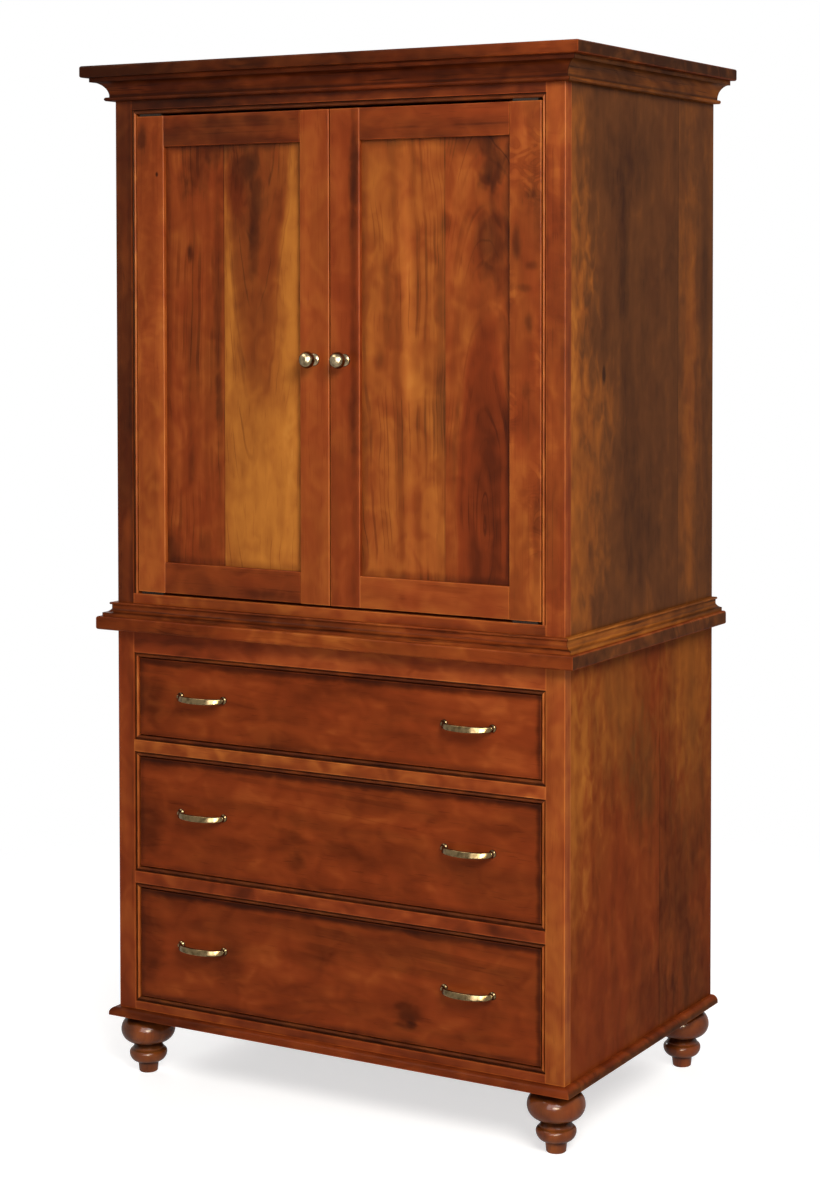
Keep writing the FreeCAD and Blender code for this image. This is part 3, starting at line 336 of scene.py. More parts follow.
def cherry(name, lie, middle, tone=0.0, gold=0.3, boards=(), marks=(), rim=None, wear=None, gloss=0.36,
           sheen=0.12, polish=0.30, board=None, **figure):
    """Cherry finish for one piece, from the lie of its board, the middle of its board space and its figure.

    boards: glued boards as (start across, tone, gold, pith across, pith depth, lean); marks: patches as
    (across, along, half width, half length, strength) and a shift of gold, in metres from the middle;
    rim: (half width, half height, reach, strength) of painted shade round the edges, where glaze and shadow
    gather in a recess; wear: the box whose edges are painted lighter, as wear and as a painted highlight on
    the arris; board: the attribute with the board space, where the mesh brings its own.
    """
    material, bench = new_finish(name)
    place, space, end = board_space(bench, lie, middle)
    if board:
        space, end = bench.node("Attribute", {}, attribute_name=board).outputs["Vector"], 0.0
    across, _, along = bench.split(space)[:3]
    tone = bench.scaled(end, -0.28, tone)
    if boards:
        low = boards[0][0]
        span = 2 * abs(low) + 0.02
        share = bench.math("DIVIDE", bench.minus(across, low), span)
        starts = [max((start - low) / span, 0.0) for start, *_ in boards]
        looks = [(tint + 0.5, gilt, 0.13 * number) for number, (_, tint, gilt, *_) in enumerate(boards)]
        piths = [(pith + 0.5, deep, lean + 0.5) for *_, pith, deep, lean in boards]
        tint, gold, number = bench.split(bench.ramp(share, zip(starts, looks), "CONSTANT"))[:3]
        pith, deep, lean = bench.split(bench.ramp(share, zip(starts, piths), "CONSTANT"))[:3]
        figure.update(seed=bench.scaled(number, 31.0, figure.get("seed", 0.0)), pith_depth=deep,
                      pith_across=bench.minus(pith, 0.5), lean=bench.minus(lean, 0.5))
        tone = bench.plus(tone, bench.minus(tint, 0.5))
        for start, *_ in boards[1:]:
            tone = bench.minus(tone, bench.step(bench.off(across, start), 0.0003, 0.0016, 0.16, 0.0))
    gold = bench.scaled(end, 0.45, gold)
    for x, z, half_width, half_length, strength, *gilt in marks:
        mask = bench.group(stain_and_shade_patch, board=space, across=x, along=z, half_width=half_width,
                           half_length=half_length)[0]
        tone = bench.scaled(mask, -strength, tone)
        if gilt:
            gold = bench.scaled(mask, gilt[0], gold)
    # rim: painted shade, a darker band along the edges where glaze and shadow gather in a recess
    if rim:
        half_width, half_height, reach, strength = rim
        inside = bench.math("MINIMUM", bench.minus(half_width, bench.math("ABSOLUTE", across)),
                            bench.minus(half_height, bench.math("ABSOLUTE", along)))
        inside = bench.scaled(bench.noise(space, (14.0, 14.0, 8.0), 2.0), -reach, inside)
        tone = bench.minus(tone, bench.step(inside, -0.3 * reach, 0.7 * reach, strength, 0.0))
    # wear: edges painted lighter, partly wear and partly a painted highlight where the eased arris catches
    # the light
    if wear:
        edge_wear_and_glint_mask = bench.group(eased_edge, place=place, low=wear[0], high=wear[1])[0]
        tone = bench.plus(tone, bench.step(edge_wear_and_glint_mask, 0.0, 0.8, 0.0, 0.20))
    stained(bench, gloss, sheen, polish, board=space, tone=tone, gold=gold, **figure)
    return material


def put_on(material, *names):
    """A CAD node takes a finish in every material slot it has."""
    for name in names:
        for slot in nodes[name].material_slots:
            slot.material = material


def finish_board(name, lie, share=(0.5, 0.0, 0.5), wear_and_glint_edges=False, label=None, **look):
    """A CAD node in a cherry finish of its own; its board space starts at that share of its box."""
    low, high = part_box(name)
    middle = tuple(a + (b - a) * part for a, b, part in zip(low, high, share))
    if wear_and_glint_edges:
        look["wear"] = (tuple(low), tuple(high))
    put_on(cherry("cherry " + (label or name.replace("_", " ")), lie, middle, **look), name)


ALL = 9.0  # metres: a mark that runs right across or along its board
# painted shade in the neck, over the toe and under the cap
grooves = ((0.0, 0.057, ALL, 0.008, 0.28), (0.0, 0.0215, ALL, 0.005, 0.18), (0.0, 0.114, ALL, 0.008, 0.26))
for seed, name in enumerate(("foot_front_left", "foot_front_right", "foot_back_left", "foot_back_right")):
    finish_board(name, "front upright", (0.5, 0.5, 0.0), tone=-0.11, gold=0.50, seed=2.3 + seed, bands=0.35,
                 pith_across=0.05, pith_depth=0.07, marks=grooves, gloss=0.30, sheen=0.32, polish=0.16)

# ---------------------------------------------------------------- base, waist and crown slabs
# Solid boards, 16 to 26 mm thick, a little wider than the case at the front and both sides.
# Their edges are rounded over with a router and the end grain takes the stain darker.
# The first mark of each slab paints its left end darker and the crown's second mark its right end lighter:
# painted shade and light falling off across the front.
for name, tone, gold, seed, blotch, marks in (
    ("base_slab", -0.08, 0.18, 11.0, 0.45, ((0.0, -0.50, ALL, 0.30, 0.12),)),
    ("waist_slab", 0.01, 0.26, 12.4, 0.45, (
        (0.0, -0.50, ALL, 0.40, 0.14), (0.0, -0.06, ALL, 0.16, -0.18), (0.0, 0.45, ALL, 0.12, 0.05))),
    ("crown_slab", -0.25, 0.25, 13.1, 0.5, ((0.0, -0.55, ALL, 0.70, 0.20), (0.0, 0.45, ALL, 0.16, -0.10))),
):
    finish_board(name, "top level", tone=tone, gold=gold, seed=seed, pith_across=-0.2, pith_depth=0.12,
                 blotch=blotch, streak=0.6, marks=marks, sheen=0.08, wear_and_glint_edges=True)

# ---------------------------------------------------------------- crown and waist mouldings
# Shaped lengths planted on the case and mitred at the front corners; the grain follows each length.
# Painted shade darkens the coves and under the beads, and the left ends are painted darker where less light
# falls.


def make_round_the_case():
    """Board coordinates that follow a moulding: along x in front, along y on the sides, split where
    |x| + y passes the corner's own value, which is the mitre."""
    bench, given, give = shader_group("round the case", {"Place": (0.0, 0.0, 0.0), "Corner": 0.2},
                                      {"Board": "Vector", "Mitre": "Float"})
    x, y, z = bench.split(given["Place"])[:3]
    past = bench.minus(bench.plus(bench.math("ABSOLUTE", x), y), given["Corner"])
    side = bench.math("GREATER_THAN", past, 0.0)
    front_run = bench.join(y, z, x)
    side_run = bench.join(bench.math("ABSOLUTE", x), z, bench.plus(y, bench.times(x, 4.0)))
    run = bench.node("Mix", {0: side, 4: front_run, 5: side_run}, data_type="VECTOR").outputs[1]
    give("Board", run)
    give("Mitre", bench.step(bench.math("ABSOLUTE", past), 0.0003, 0.0016, 1.0, 0.0))
    return bench.tree


round_the_case = make_round_the_case()
# left: the change of tone at the left end, painted shade where less light falls; hollows: (level, half
# height, strength) of painted shade in the coves and under the beads
for name, tone, left, gold, seed, hollow_shade in (
    ("waist_moulding", -0.06, -0.04, 0.30, 21.0, ((0.9285, 0.0035, 0.20), (0.9340, 0.0030, 0.14))),
    ("crown_moulding", -0.24, -0.10, 0.14, 22.7, ((1.9510, 0.0040, 0.20), (1.9780, 0.0050, 0.16))),
):
    material, bench = new_finish("cherry " + name.replace("_", " "))
    place = bench.node("TexCoord", {}).outputs["Object"]
    run, mitre = bench.group(round_the_case, place=place)[:2]
    level = bench.split(place)[2]
    onto_side = bench.split(run)[0]
    gold = bench.step(onto_side, 0.0, 0.1, gold, gold + 0.6)
    tone = bench.scaled(mitre, -0.20, bench.step(onto_side, 0.0, 0.1, tone, tone + 0.05))
    # painted shade: darker towards the left end
    tone = bench.plus(tone, bench.step(bench.split(run)[2], -0.5, 0.0, left, 0.0))
    # painted shade in the coves and under the beads
    for height, half, strength in hollow_shade:
        tone = bench.minus(tone, bench.step(bench.off(level, height), 0.0, half, strength, 0.0))
    gaps = bench.step(bench.noise(run, (160.0, 160.0, 5.5), 2.0, 0.6), 0.60, 0.70, 0.0, 0.24)
    stained(bench, 0.34, 0.08, board=run, seed=seed, tone=bench.minus(tone, gaps), gold=gold, blotch=0.6,
            streak=0.9, pith_across=0.1, pith_depth=0.6)
    put_on(material, name)

# ---------------------------------------------------------------- case sides, backs and bottom
# Sides of solid cherry, edge-glued from two wide boards, 20 mm thick, butted behind the face frames.
# The backs are 6 mm cherry plywood let in between the sides; a board closes the upper case below.
case_half = 0.5  # to the outside of the sides
right_knot = ((-0.145, -0.040, 0.0080, 0.018, 0.50), (-0.140, 0.060, 0.024, 0.100, 0.08))
upper_marks = (
    (-0.35, 0.25, 0.160, 0.40, -0.24), (-0.35, -0.22, 0.220, 0.46, -0.30, -0.10),
    (-0.06, -0.20, 0.06, 0.35, 0.05), (-0.06, 0.38, 0.14, 0.10, 0.10),
    (0.235, -0.05, 0.042, 0.50, -0.15, -0.10), (0.31, 0.10, 0.022, 0.40, 0.10),
    (0.02, -0.34, 0.09, 0.12, 0.09), (-0.07, 0.19, 0.035, 0.14, 0.11),
    (-0.10, -0.08, 0.05, 0.09, -0.09, -0.05),
)
lower_marks = (
    (-0.34, 0.16, 0.19, 0.34, -0.16, 0.55), (0.24, 0.30, 0.14, 0.22, -0.08, 0.60),
    (-0.08, 0.28, 0.14, 0.18, 0.00, 0.50), (0.03, 0.12, 0.08, 0.12, 0.14, 0.35),
    (0.27, 0.05, 0.12, 0.20, -0.03, 0.30), (0.20, -0.12, 0.12, 0.20, 0.10), (0.09, -0.32, 0.09, 0.10, 0.10),
    (0.27, -0.36, 0.14, 0.10, 0.10), (-0.20, -0.30, 0.14, 0.22, -0.04, -0.10),
)
for side, sign, upper_joint, lower_joint, knot in (
    ("right", 1, 0.181, 0.102, right_knot), ("left", -1, 0.150, 0.060, ()),
):
    for part, seed, first_board, joint, second_board, marks, blotch, streak, sheen in (
        ("upper", 31.0, (-0.330, -0.28, 0.92, -0.02, 0.10, 0.05), upper_joint,
         (-0.23, 0.95, 0.30, 0.06, 0.01), knot + upper_marks, 0.32, 0.30, 0.09),
        ("lower", 35.0, (-0.330, -0.07, 0.26, 0.04, 0.11, -0.06), lower_joint,
         (-0.11, 0.30, 0.32, 0.05, 0.02), lower_marks, 0.34, 0.34, 0.05),
    ):
        name = f"{part}_side_{side}"
        low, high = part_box(name)
        middle = (sign * case_half, 0.0, (low.z + high.z) / 2)
        put_on(cherry(f"cherry {part} side {side}", side + " upright", middle, marks=marks, seed=seed + sign,
                      boards=(first_board, (joint, *second_board)), bands=0.12, blotch=blotch, streak=streak,
                      curl=0.05, gloss=0.42, sheen=sheen), name)

leaves = ((-0.48, -0.05, 0.40, -0.30, 0.10, 0.05), (-0.24, -0.03, 0.36, 0.12, 0.14, -0.06),
          (0.0, -0.06, 0.42, -0.12, 0.12, 0.06), (0.24, -0.04, 0.36, 0.34, 0.10, -0.05))
for name, seed in (("upper_back", 41.0), ("lower_back", 43.0)):
    finish_board(name, "back upright", (0.5, 1.0, 0.5), label="plywood " + name.replace("_", " "),
                 boards=leaves, seed=seed, bands=0.7, blotch=0.35, gloss=0.46)
finish_board("upper_bottom", "top level", (0.5, 0.0, 1.0), tone=-0.02, gold=0.4, seed=45.0, pith_across=0.1,
             pith_depth=0.2, bands=0.6)

# ---------------------------------------------------------------- face frames
# Stiles 39 mm and rails 16 to 63 mm wide, glued and pocket-screwed into frames in front of the sides.
# Each stick is its own cherry board, so its colour and figure differ a little from its neighbours'; the two
# top rails also carry painted light and shade.
frame_sticks = {
    # name: (lie, tone, gold, seed, bands, blotch, curl, marks)
    "lower_stile_left": ("front upright", -0.04, 0.12, 51.0, 0.35, 0.45, 0.00, ()),
    "lower_stile_right": ("front upright", 0.09, 0.36, 52.0, 0.40, 0.36, 0.00, ()),
    "upper_stile_left": ("front upright", -0.24, 0.25, 53.0, 0.35, 0.40, 0.00,
                         ((0.019, 0.0, 0.010, ALL, 0.10),)),
    "upper_stile_right": ("front upright", -0.02, 0.24, 54.0, 0.40, 0.45, 0.10,
                          ((0.0, 0.42, 0.08, 0.12, -0.12), (0.0, 0.06, ALL, 0.20, 0.10))),
    "lower_bottom_rail": ("front level", 0.00, 0.18, 55.0, 0.5, 0.6, 0.0, ()),
    "drawer_rail_lower": ("front level", 0.00, 0.14, 56.0, 0.5, 0.9, 0.0, ()),
    "drawer_rail_upper": ("front level", 0.03, 0.28, 57.0, 0.5, 0.9, 0.0, ()),
    # painted light and shade: the rail is lifted in tone against the shadow of the waist slab, and its mark
    # paints the left end darker
    "lower_top_rail": ("front level", 0.09, 0.10, 58.0, 0.5, 0.7, 0.0,
                       ((0.0, -0.50, ALL, 0.50, 0.10, -0.12),)),
    "upper_bottom_rail": ("front level", 0.00, 0.25, 59.0, 0.5, 0.6, 0.0, ()),
    # painted shade: the mark paints the left end darker
    "upper_top_rail": ("front level", -0.18, 0.22, 60.0, 0.5, 0.5, 0.0, ((0.0, -0.50, ALL, 0.45, 0.26),)),
}
for name, (lie, tone, gold, seed, bands, blotch, curl, marks) in frame_sticks.items():
    finish_board(name, lie, tone=tone, gold=gold, seed=seed, pith_across=0.05, pith_depth=0.09, bands=bands,
                 blotch=blotch, curl=curl, streak=0.45, marks=marks, wear_and_glint_edges=True)

# ---------------------------------------------------------------- bead strips round the openings
# Strips 9 mm wide, a cut quirk beside the frame and a round bead at the opening, mitred at the corners
# and glued inside each frame opening.  The door opening has none at its foot.
bead_width, bead_face, bead_back = 0.009, -0.2985, -0.277
quirk_floor, bead_radius = -0.2953, 0.0029


def bead_section():
    """Closed section (inwards, depth): back corner, quirk, half round of bead_radius, and back again."""
    turn = np.linspace(math.pi, 0.0, 13)
    crest = np.stack([bead_width - bead_radius + bead_radius * np.cos(turn),
                      quirk_floor - (quirk_floor - bead_face) * np.sin(turn)], 1)
    quirk = [(0.0, bead_back), (0.0, quirk_floor - 0.0012), (0.0004, quirk_floor - 0.0004),
             (0.0009, quirk_floor)]
    return np.concatenate([quirk, crest, [(bead_width, bead_back)]])


def new_mesh(name, points, faces):
    mesh = bpy.data.meshes.new(name)
    mesh.from_pydata(points, [], [list(face) for face in faces])
    return mesh


def into_scene(name, data):
    thing = bpy.data.objects.new(name, data)
    bpy.context.scene.collection.objects.link(thing)
    return thing


def shaped_strips(name, section, strips):
    """Lengths of one section between mitred or square ends, in one mesh.

    A strip is (start, end, way inwards, start mitre, end mitre): a section point s inwards of the frame
    edge lies at start + inwards * s, moved along the strip by s times the mitre at each end.  The board
    attribute holds s (1 m more on a level strip), the depth, and the length along the strip.
    """
    count = len(section)
    here = np.arange(count)
    after = (here + 1) % count
    s = section[:, :1]
    points, faces, board = [], [], []
    for number, (start, end, inwards, first_mitre, last_mitre) in enumerate(strips):
        start, end, inwards = (np.array(v, float) for v in (start, end, inwards))
        length = np.linalg.norm(end - start)
        along = (end - start) / length
        across = start + inwards * s + np.array([0.0, 1.0, 0.0]) * section[:, 1:]
        rings = np.stack([across + along * s * first_mitre, across + along * (length - s * last_mitre)])
        points.append(rings.reshape(-1, 3))
        # a level strip's s runs 1 m further on, so that marks can darken level strips apart from upright ones
        level = 1.0 if abs(along[0]) > 0.5 else 0.0
        inside = np.broadcast_to(section + (level, 0.0), (2, count, 2))
        run = (rings @ along)[..., None] + 0.37 * number  # each strip comes from further up the log
        board.append(np.concatenate([inside, run], 2).reshape(-1, 3))
        quads = np.stack([here, after, count + after, count + here], 1)
        strip_faces = [face + 2 * count * number for face in (*quads, here[::-1], count + here)]
        turned = np.cross(inwards, along)[1] > 0
        faces += [face[::-1] for face in strip_faces] if turned else strip_faces
    mesh = new_mesh(name, np.concatenate(points), faces)
    boards = mesh.attributes.new("board", "FLOAT_VECTOR", "POINT")
    boards.data.foreach_set("vector", np.concatenate(board).ravel())
    return finished_piece(name, mesh)


def finished_piece(name, mesh, crease=32.0):
    """Object of a finished mesh, shaded round except over creases."""
    mesh.polygons.foreach_set("use_smooth", np.ones(len(mesh.polygons), bool))
    mesh.set_sharp_from_angle(angle=math.radians(crease))
    mesh.validate()
    return into_scene(name, mesh)


def opening_strips(x, low, high, foot=True):
    """The strips round one opening between -x and x, low and high; foot: one lies at the bottom too."""
    drop = 1.0 if foot else 0.0
    strips = [((-x, 0, low), (-x, 0, high), (1, 0, 0), drop, 1.0),
              ((x, 0, low), (x, 0, high), (-1, 0, 0), drop, 1.0),
              ((-x, 0, high), (x, 0, high), (0, 0, -1), 1.0, 1.0)]
    return strips + ([((-x, 0, low), (x, 0, low), (0, 0, 1), 1.0, 1.0)] if foot else [])


stile_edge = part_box("lower_stile_right")[0].x
levels = {}
for name in frame_sticks:
    low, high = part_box(name)
    levels[name] = (low.z, high.z)
door_foot, door_head = levels["upper_bottom_rail"][1], levels["upper_top_rail"][0]
drawer_spans = {
    "bottom": (levels["lower_bottom_rail"][1], levels["drawer_rail_lower"][0]),
    "middle": (levels["drawer_rail_lower"][1], levels["drawer_rail_upper"][0]),
    "top": (levels["drawer_rail_upper"][1], levels["lower_top_rail"][0]),
}
strips = opening_strips(stile_edge, door_foot, door_head, foot=False)
for low, high in drawer_spans.values():
    strips += opening_strips(stile_edge, low, high)
beads = shaped_strips("opening_beads_mitred", bead_section(), strips)
ENDLESS = 99.0  # metres: a mark along the whole of a strip, wherever its board space starts
# Marks on the bead strips: painted shade in the quirk of the upright strips, a painted highlight along their
# crest, the level strips darker all over, and painted shade in the quirk of the level strips.
bead_shade_and_highlight = ((0.0004, 0.0, 0.0024, ENDLESS, 0.40), (0.0064, 0.0, 0.0026, ENDLESS, -0.30),
         (1.004, 0.0, 0.02, ENDLESS, 0.16), (1.0004, 0.0, 0.0024, ENDLESS, 0.25))
material = cherry("cherry bead strips", "front upright", (0, 0, 0), tone=-0.08, gold=0.36, seed=63.0,
                  bands=0.3, blotch=0.7, streak=0.5, marks=bead_shade_and_highlight, gloss=0.30, sheen=0.10, board="board")
beads.data.materials.append(material)
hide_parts("opening_beads")
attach(beads, "case")

# ---------------------------------------------------------------- shelves, keyboard tray, pins, grommet
# Work shelf, adjustable shelf and keyboard tray of 18 to 20 mm cherry; steel pins in bored holes carry
# the shelves, and a moulded grommet lines the cable hole in the back.
finish_board("shelves", "top level", (0.5, 0.0, 1.0), tone=-0.01, gold=0.42, seed=71.0, bands=0.6,
             boards=((-0.65, 0.0, 0.5, -0.5, 0.10, 0.05), (-0.40, -0.03, 0.4, -0.30, 0.12, -0.06),
                     (-0.2, 0.02, 0.5, -0.08, 0.12, 0.05)))
finish_board("keyboard_tray", "top level", (0.5, 0.0, 1.0), tone=0.0, gold=0.42, seed=73.0, pith_across=-0.15,
             pith_depth=0.14, bands=0.6, wear_and_glint_edges=True)


def metal(name, colour, roughness, grain):
    """Bare or plated metal: noise stretched along the way it was rolled or brushed, and faint stains."""
    material, bench = new_finish(name)
    place = bench.node("TexCoord", {}).outputs["Object"]
    brushed = bench.noise(place, grain, 2.0, 0.6)
    cloud = bench.noise(place, (60.0, 60.0, 60.0), 3.0, 0.6)
    share = bench.scaled(brushed, 0.5, bench.times(cloud, 0.5))
    dark = tuple(c * 0.736 for c in colour)
    mixed = bench.blend(bench.step(share, 0.3, 0.7), (*dark, 1.0), (*colour, 1.0))
    shader = bench.surface(mixed, bench.scaled(brushed, 0.18, roughness - 0.09), brushed, 0.00003)
    shader.inputs["Metallic"].default_value = 1.0
    return material


zinc = metal("zinc plated steel", (0.56, 0.57, 0.58), 0.36, (500.0, 40.0, 500.0))
put_on(zinc, "shelf_pins", "slide_rails", *(f"drawer_{level}_slides" for level in drawer_spans))
material, bench = new_finish("grommet plastic")
place = bench.node("TexCoord", {}).outputs["Object"]
grain = bench.noise(place, (1500.0, 1500.0, 1500.0), 2.0, 0.6)
black = bench.blend(grain, (0.022, 0.018, 0.015, 1.0), (0.040, 0.032, 0.026, 1.0))
bench.surface(black, bench.scaled(grain, 0.2, 0.38), grain, 0.00008)
put_on(material, "cable_grommet")

# ---------------------------------------------------------------- doors
# Frame and panel doors: 22 mm thick, stiles 65 mm and rails 60 mm wide, cope-and-stick joints, and a flat
# panel glued up from two boards that floats in the grooves.  Painted shade darkens the panel along the frame,
# where glaze and shadow gather in the recess.
door_sticks = {
    # name: (lie, tone, gold, seed, bands, blotch, curl)
    "door_left_hinge_stile": ("front upright", 0.11, 0.26, 81.0, 0.25, 0.40, 0.10),
    "door_left_meeting_stile": ("front upright", 0.08, 0.24, 82.0, 0.30, 0.22, 0.00),
    "door_left_top_rail": ("front level", -0.14, 0.18, 83.0, 0.5, 0.5, 0.00),
    "door_left_bottom_rail": ("front level", -0.11, 0.20, 84.0, 0.5, 0.5, 0.00),
    "door_right_hinge_stile": ("front upright", -0.01, 0.32, 85.0, 0.35, 0.42, 0.40),
    "door_right_meeting_stile": ("front upright", 0.02, 0.16, 86.0, 0.30, 0.30, 0.00),
    "door_right_top_rail": ("front level", -0.10, 0.20, 87.0, 0.6, 0.45, 0.00),
    "door_right_bottom_rail": ("front level", 0.12, 0.24, 88.0, 0.5, 0.30, 0.00),
}
stick_marks = {
    "door_left_hinge_stile": ((0.0165, 0.354, 0.0035, 0.0050, 0.60), (-0.020, 0.425, 0.012, 0.026, 0.18),
                              (0.026, -0.10, 0.010, 0.30, -0.08), (0.0, 0.42, 0.06, 0.16, 0.10)),
    "door_right_hinge_stile": ((0.010, 0.300, 0.012, 0.010, 0.16), (-0.018, 0.216, 0.010, 0.030, 0.18),
                               (0.012, 0.173, 0.016, 0.010, 0.18), (0.0, 0.133, 0.018, 0.008, 0.14),
                               (0.008, 0.069, 0.008, 0.020, 0.20), (0.0, -0.05, 0.014, 0.020, 0.14),
                               (-0.004, 0.42, 0.010, 0.040, -0.10), (0.0, -0.33, ALL, 0.14, -0.05, 0.14)),
    "door_right_meeting_stile": ((0.021, 0.10, 0.011, 0.46, 0.20), (0.020, 0.36, 0.011, 0.09, 0.20)),
    "door_left_bottom_rail": ((0.02, 0.10, 0.012, 0.07, 0.14),),
}
for name, (lie, tone, gold, seed, bands, blotch, curl) in door_sticks.items():
    finish_board(name, lie, tone=tone, gold=gold, seed=seed, pith_across=0.06, pith_depth=0.10, bands=bands,
                 blotch=blotch, curl=curl, streak=0.45, marks=stick_marks.get(name, ()), wear_and_glint_edges=True)

for name, seed, boards, marks, figure in (
    ("door_left_panel", 91.0,
     ((-0.170, 0.03, 0.24, -0.30, 0.06, 0.02), (-0.022, 0.11, 0.80, 0.052, 0.1118, -0.058)),
     ((-0.088, 0.370, 0.034, 0.070, 0.22), (-0.040, 0.392, 0.034, 0.032, 0.18),
      (-0.119, 0.340, 0.012, 0.050, 0.10), (-0.103, 0.201, 0.0065, 0.022, 0.34),
      (-0.036, 0.10, 0.012, 0.30, 0.20), (-0.034, -0.22, 0.010, 0.20, 0.14),
      (-0.148, -0.385, 0.026, 0.045, 0.22), (-0.095, 0.02, 0.018, 0.30, 0.10),
      (-0.07, -0.375, 0.018, 0.036, 0.12), (0.028, 0.365, 0.034, 0.045, 0.24),
      (0.054, 0.300, 0.026, 0.080, 0.18), (0.048, 0.215, 0.014, 0.080, 0.16),
      (0.130, 0.137, 0.026, 0.320, -0.10, 0.15), (-0.008, 0.098, 0.010, 0.160, -0.12, 0.15),
      (-0.105, -0.21, 0.020, 0.05, 0.10), (0.000, 0.330, 0.034, 0.070, 0.14, -0.30),
      (0.085, -0.27, 0.090, 0.200, -0.10, 0.15)),
     dict(heart_radius=0.117, heart=0.17, bands=0.75, blotch=0.36, streak=0.25)),
    ("door_right_panel", 94.0,
     ((-0.170, 0.06, 0.48, -0.22, 0.07, 0.03), (0.020, 0.01, 0.26, 0.105, 0.0476, 0.160)),
     ((0.126, 0.360, 0.034, 0.050, 0.26), (0.085, 0.395, 0.060, 0.022, 0.16),
      (0.124, 0.215, 0.036, 0.130, 0.23), (0.024, 0.250, 0.014, 0.024, 0.18),
      (0.010, 0.140, 0.013, 0.100, 0.14), (-0.103, 0.120, 0.012, 0.090, 0.14),
      (-0.120, 0.000, 0.016, 0.030, 0.16), (0.010, -0.10, 0.014, 0.130, 0.12),
      (0.115, -0.235, 0.040, 0.075, 0.10), (0.035, -0.26, 0.013, 0.16, 0.10),
      (-0.07, -0.20, 0.024, 0.14, 0.06), (-0.073, 0.248, 0.018, 0.130, -0.08),
      (-0.060, 0.062, 0.022, 0.140, -0.08), (-0.10, -0.30, 0.06, 0.20, -0.08), (0.09, 0.40, 0.10, 0.10, 0.06),
      (0.05, 0.0, 0.034, ALL, -0.04, 0.12)),
     dict(heart_radius=0.062, heart=0.15, bands=0.85, blotch=0.45, streak=0.28)),
):
    # rim: painted shade along the frame, where glaze and shadow gather in the recess
    finish_board(name, "front upright", boards=boards, marks=marks, seed=seed,
                 rim=(0.159, 0.408, 0.016, 0.14), gloss=0.34, **figure)

# the leaves are coloured nearly black, darker than the bronze itself, as painted shade for the gap they sit
# in
bronze = metal("dark bronze", (0.020, 0.015, 0.012), 0.62, (60.0, 500.0, 500.0))
put_on(bronze, "hinge_case_leaves", "door_left_hinge_leaves", "door_right_hinge_leaves")

# ---------------------------------------------------------------- door knobs
# Mushroom knobs turned from brass and plated in satin nickel: a round foot, a waisted stem and a domed
# head; each is held by a screw from behind.


def tube_faces(rings, around):
    """Quads between rings of points that lie one after another, each closed round."""
    k, a = np.meshgrid(np.arange(rings - 1), np.arange(around), indexing="ij")
    b = (a + 1) % around
    corners = [k * around + a, k * around + b, (k + 1) * around + b, (k + 1) * around + a]
    return np.stack(corners, -1).reshape(-1, 4)


def turned_surface(name, profile, middle, outwards, around=64):
    """Revolution of a profile (radius, height) about a line through middle that runs outwards.

    Point k on ring a lies at middle + outwards * height + radius * (cos a * u + sin a * v); the profile
    starts and ends on the axis, and those two ends are closed with fans.
    """
    outwards = Vector(outwards).normalized()
    u = outwards.orthogonal().normalized()
    v = outwards.cross(u)
    radius, height = np.array(profile, float).T
    turn = np.linspace(0.0, 2 * math.pi, around, endpoint=False)
    circle = np.cos(turn)[:, None] * np.array(u) + np.sin(turn)[:, None] * np.array(v)
    body = (np.array(middle) + height[1:-1, None, None] * np.array(outwards)
            + radius[1:-1, None, None] * circle[None])
    tips = np.array(middle) + height[[0, -1], None] * np.array(outwards)
    points = np.concatenate([body.reshape(-1, 3), tips])
    a = np.arange(around)
    b = (a + 1) % around
    last = (len(body) - 1) * around
    first_fan = np.stack([np.full(around, len(points) - 2), b, a], 1)
    last_fan = np.stack([np.full(around, len(points) - 1), last + a, last + b], 1)
    return new_mesh(name, points, [*tube_faces(len(body), around), *first_fan, *last_fan])


def rounded_line(corners, radius, steps=6):
    """Profile through corners, each inner corner rounded: points on a quadratic curve from one radius
    before it to one radius after it."""
    corners = np.array(corners, float)
    reach = np.broadcast_to(radius, len(corners))
    line = [corners[:1]]
    for before, corner, after, near in zip(corners, corners[1:], corners[2:], reach[1:]):
        back, on = before - corner, after - corner
        start = corner + back * min(near / np.linalg.norm(back), 0.5)
        end = corner + on * min(near / np.linalg.norm(on), 0.5)
        t = np.linspace(0.0, 1.0, steps)[:, None]
        line.append((1 - t) ** 2 * start + 2 * t * (1 - t) * corner + t ** 2 * end)
    line.append(corners[-1:])
    return np.concatenate(line)


def make_nickel(name, dark, pale, turned=False):
    """Satin nickel with fine brush lines, which on turned parts run round the axis, in clouds of dark brown
    that stand in for the reflection of a dark room: painted reflection.
    """
    material, bench = new_finish(name)
    place = bench.node("TexCoord", {}).outputs["Object"]
    brushed = bench.noise(place, (160.0, 1800.0, 1400.0), 2.0, 0.6)
    cloud = bench.noise(place, (90.0, 90.0, 90.0), 3.0, 0.6)
    colour = bench.blend(bench.step(cloud, 0.30, 0.62), (*dark, 1.0), (*pale, 1.0))
    shader = bench.surface(colour, bench.scaled(brushed, 0.12, 0.14), brushed, 0.00003, 0.5)
    shader.inputs["Metallic"].default_value = 1.0
    if turned:
        shader.inputs["Anisotropic"].default_value = 0.80
        way = bench.node("Tangent", {}, direction_type="RADIAL", axis="Y").outputs[0]
        bench.tree.links.new(way, shader.inputs["Tangent"])
    return material


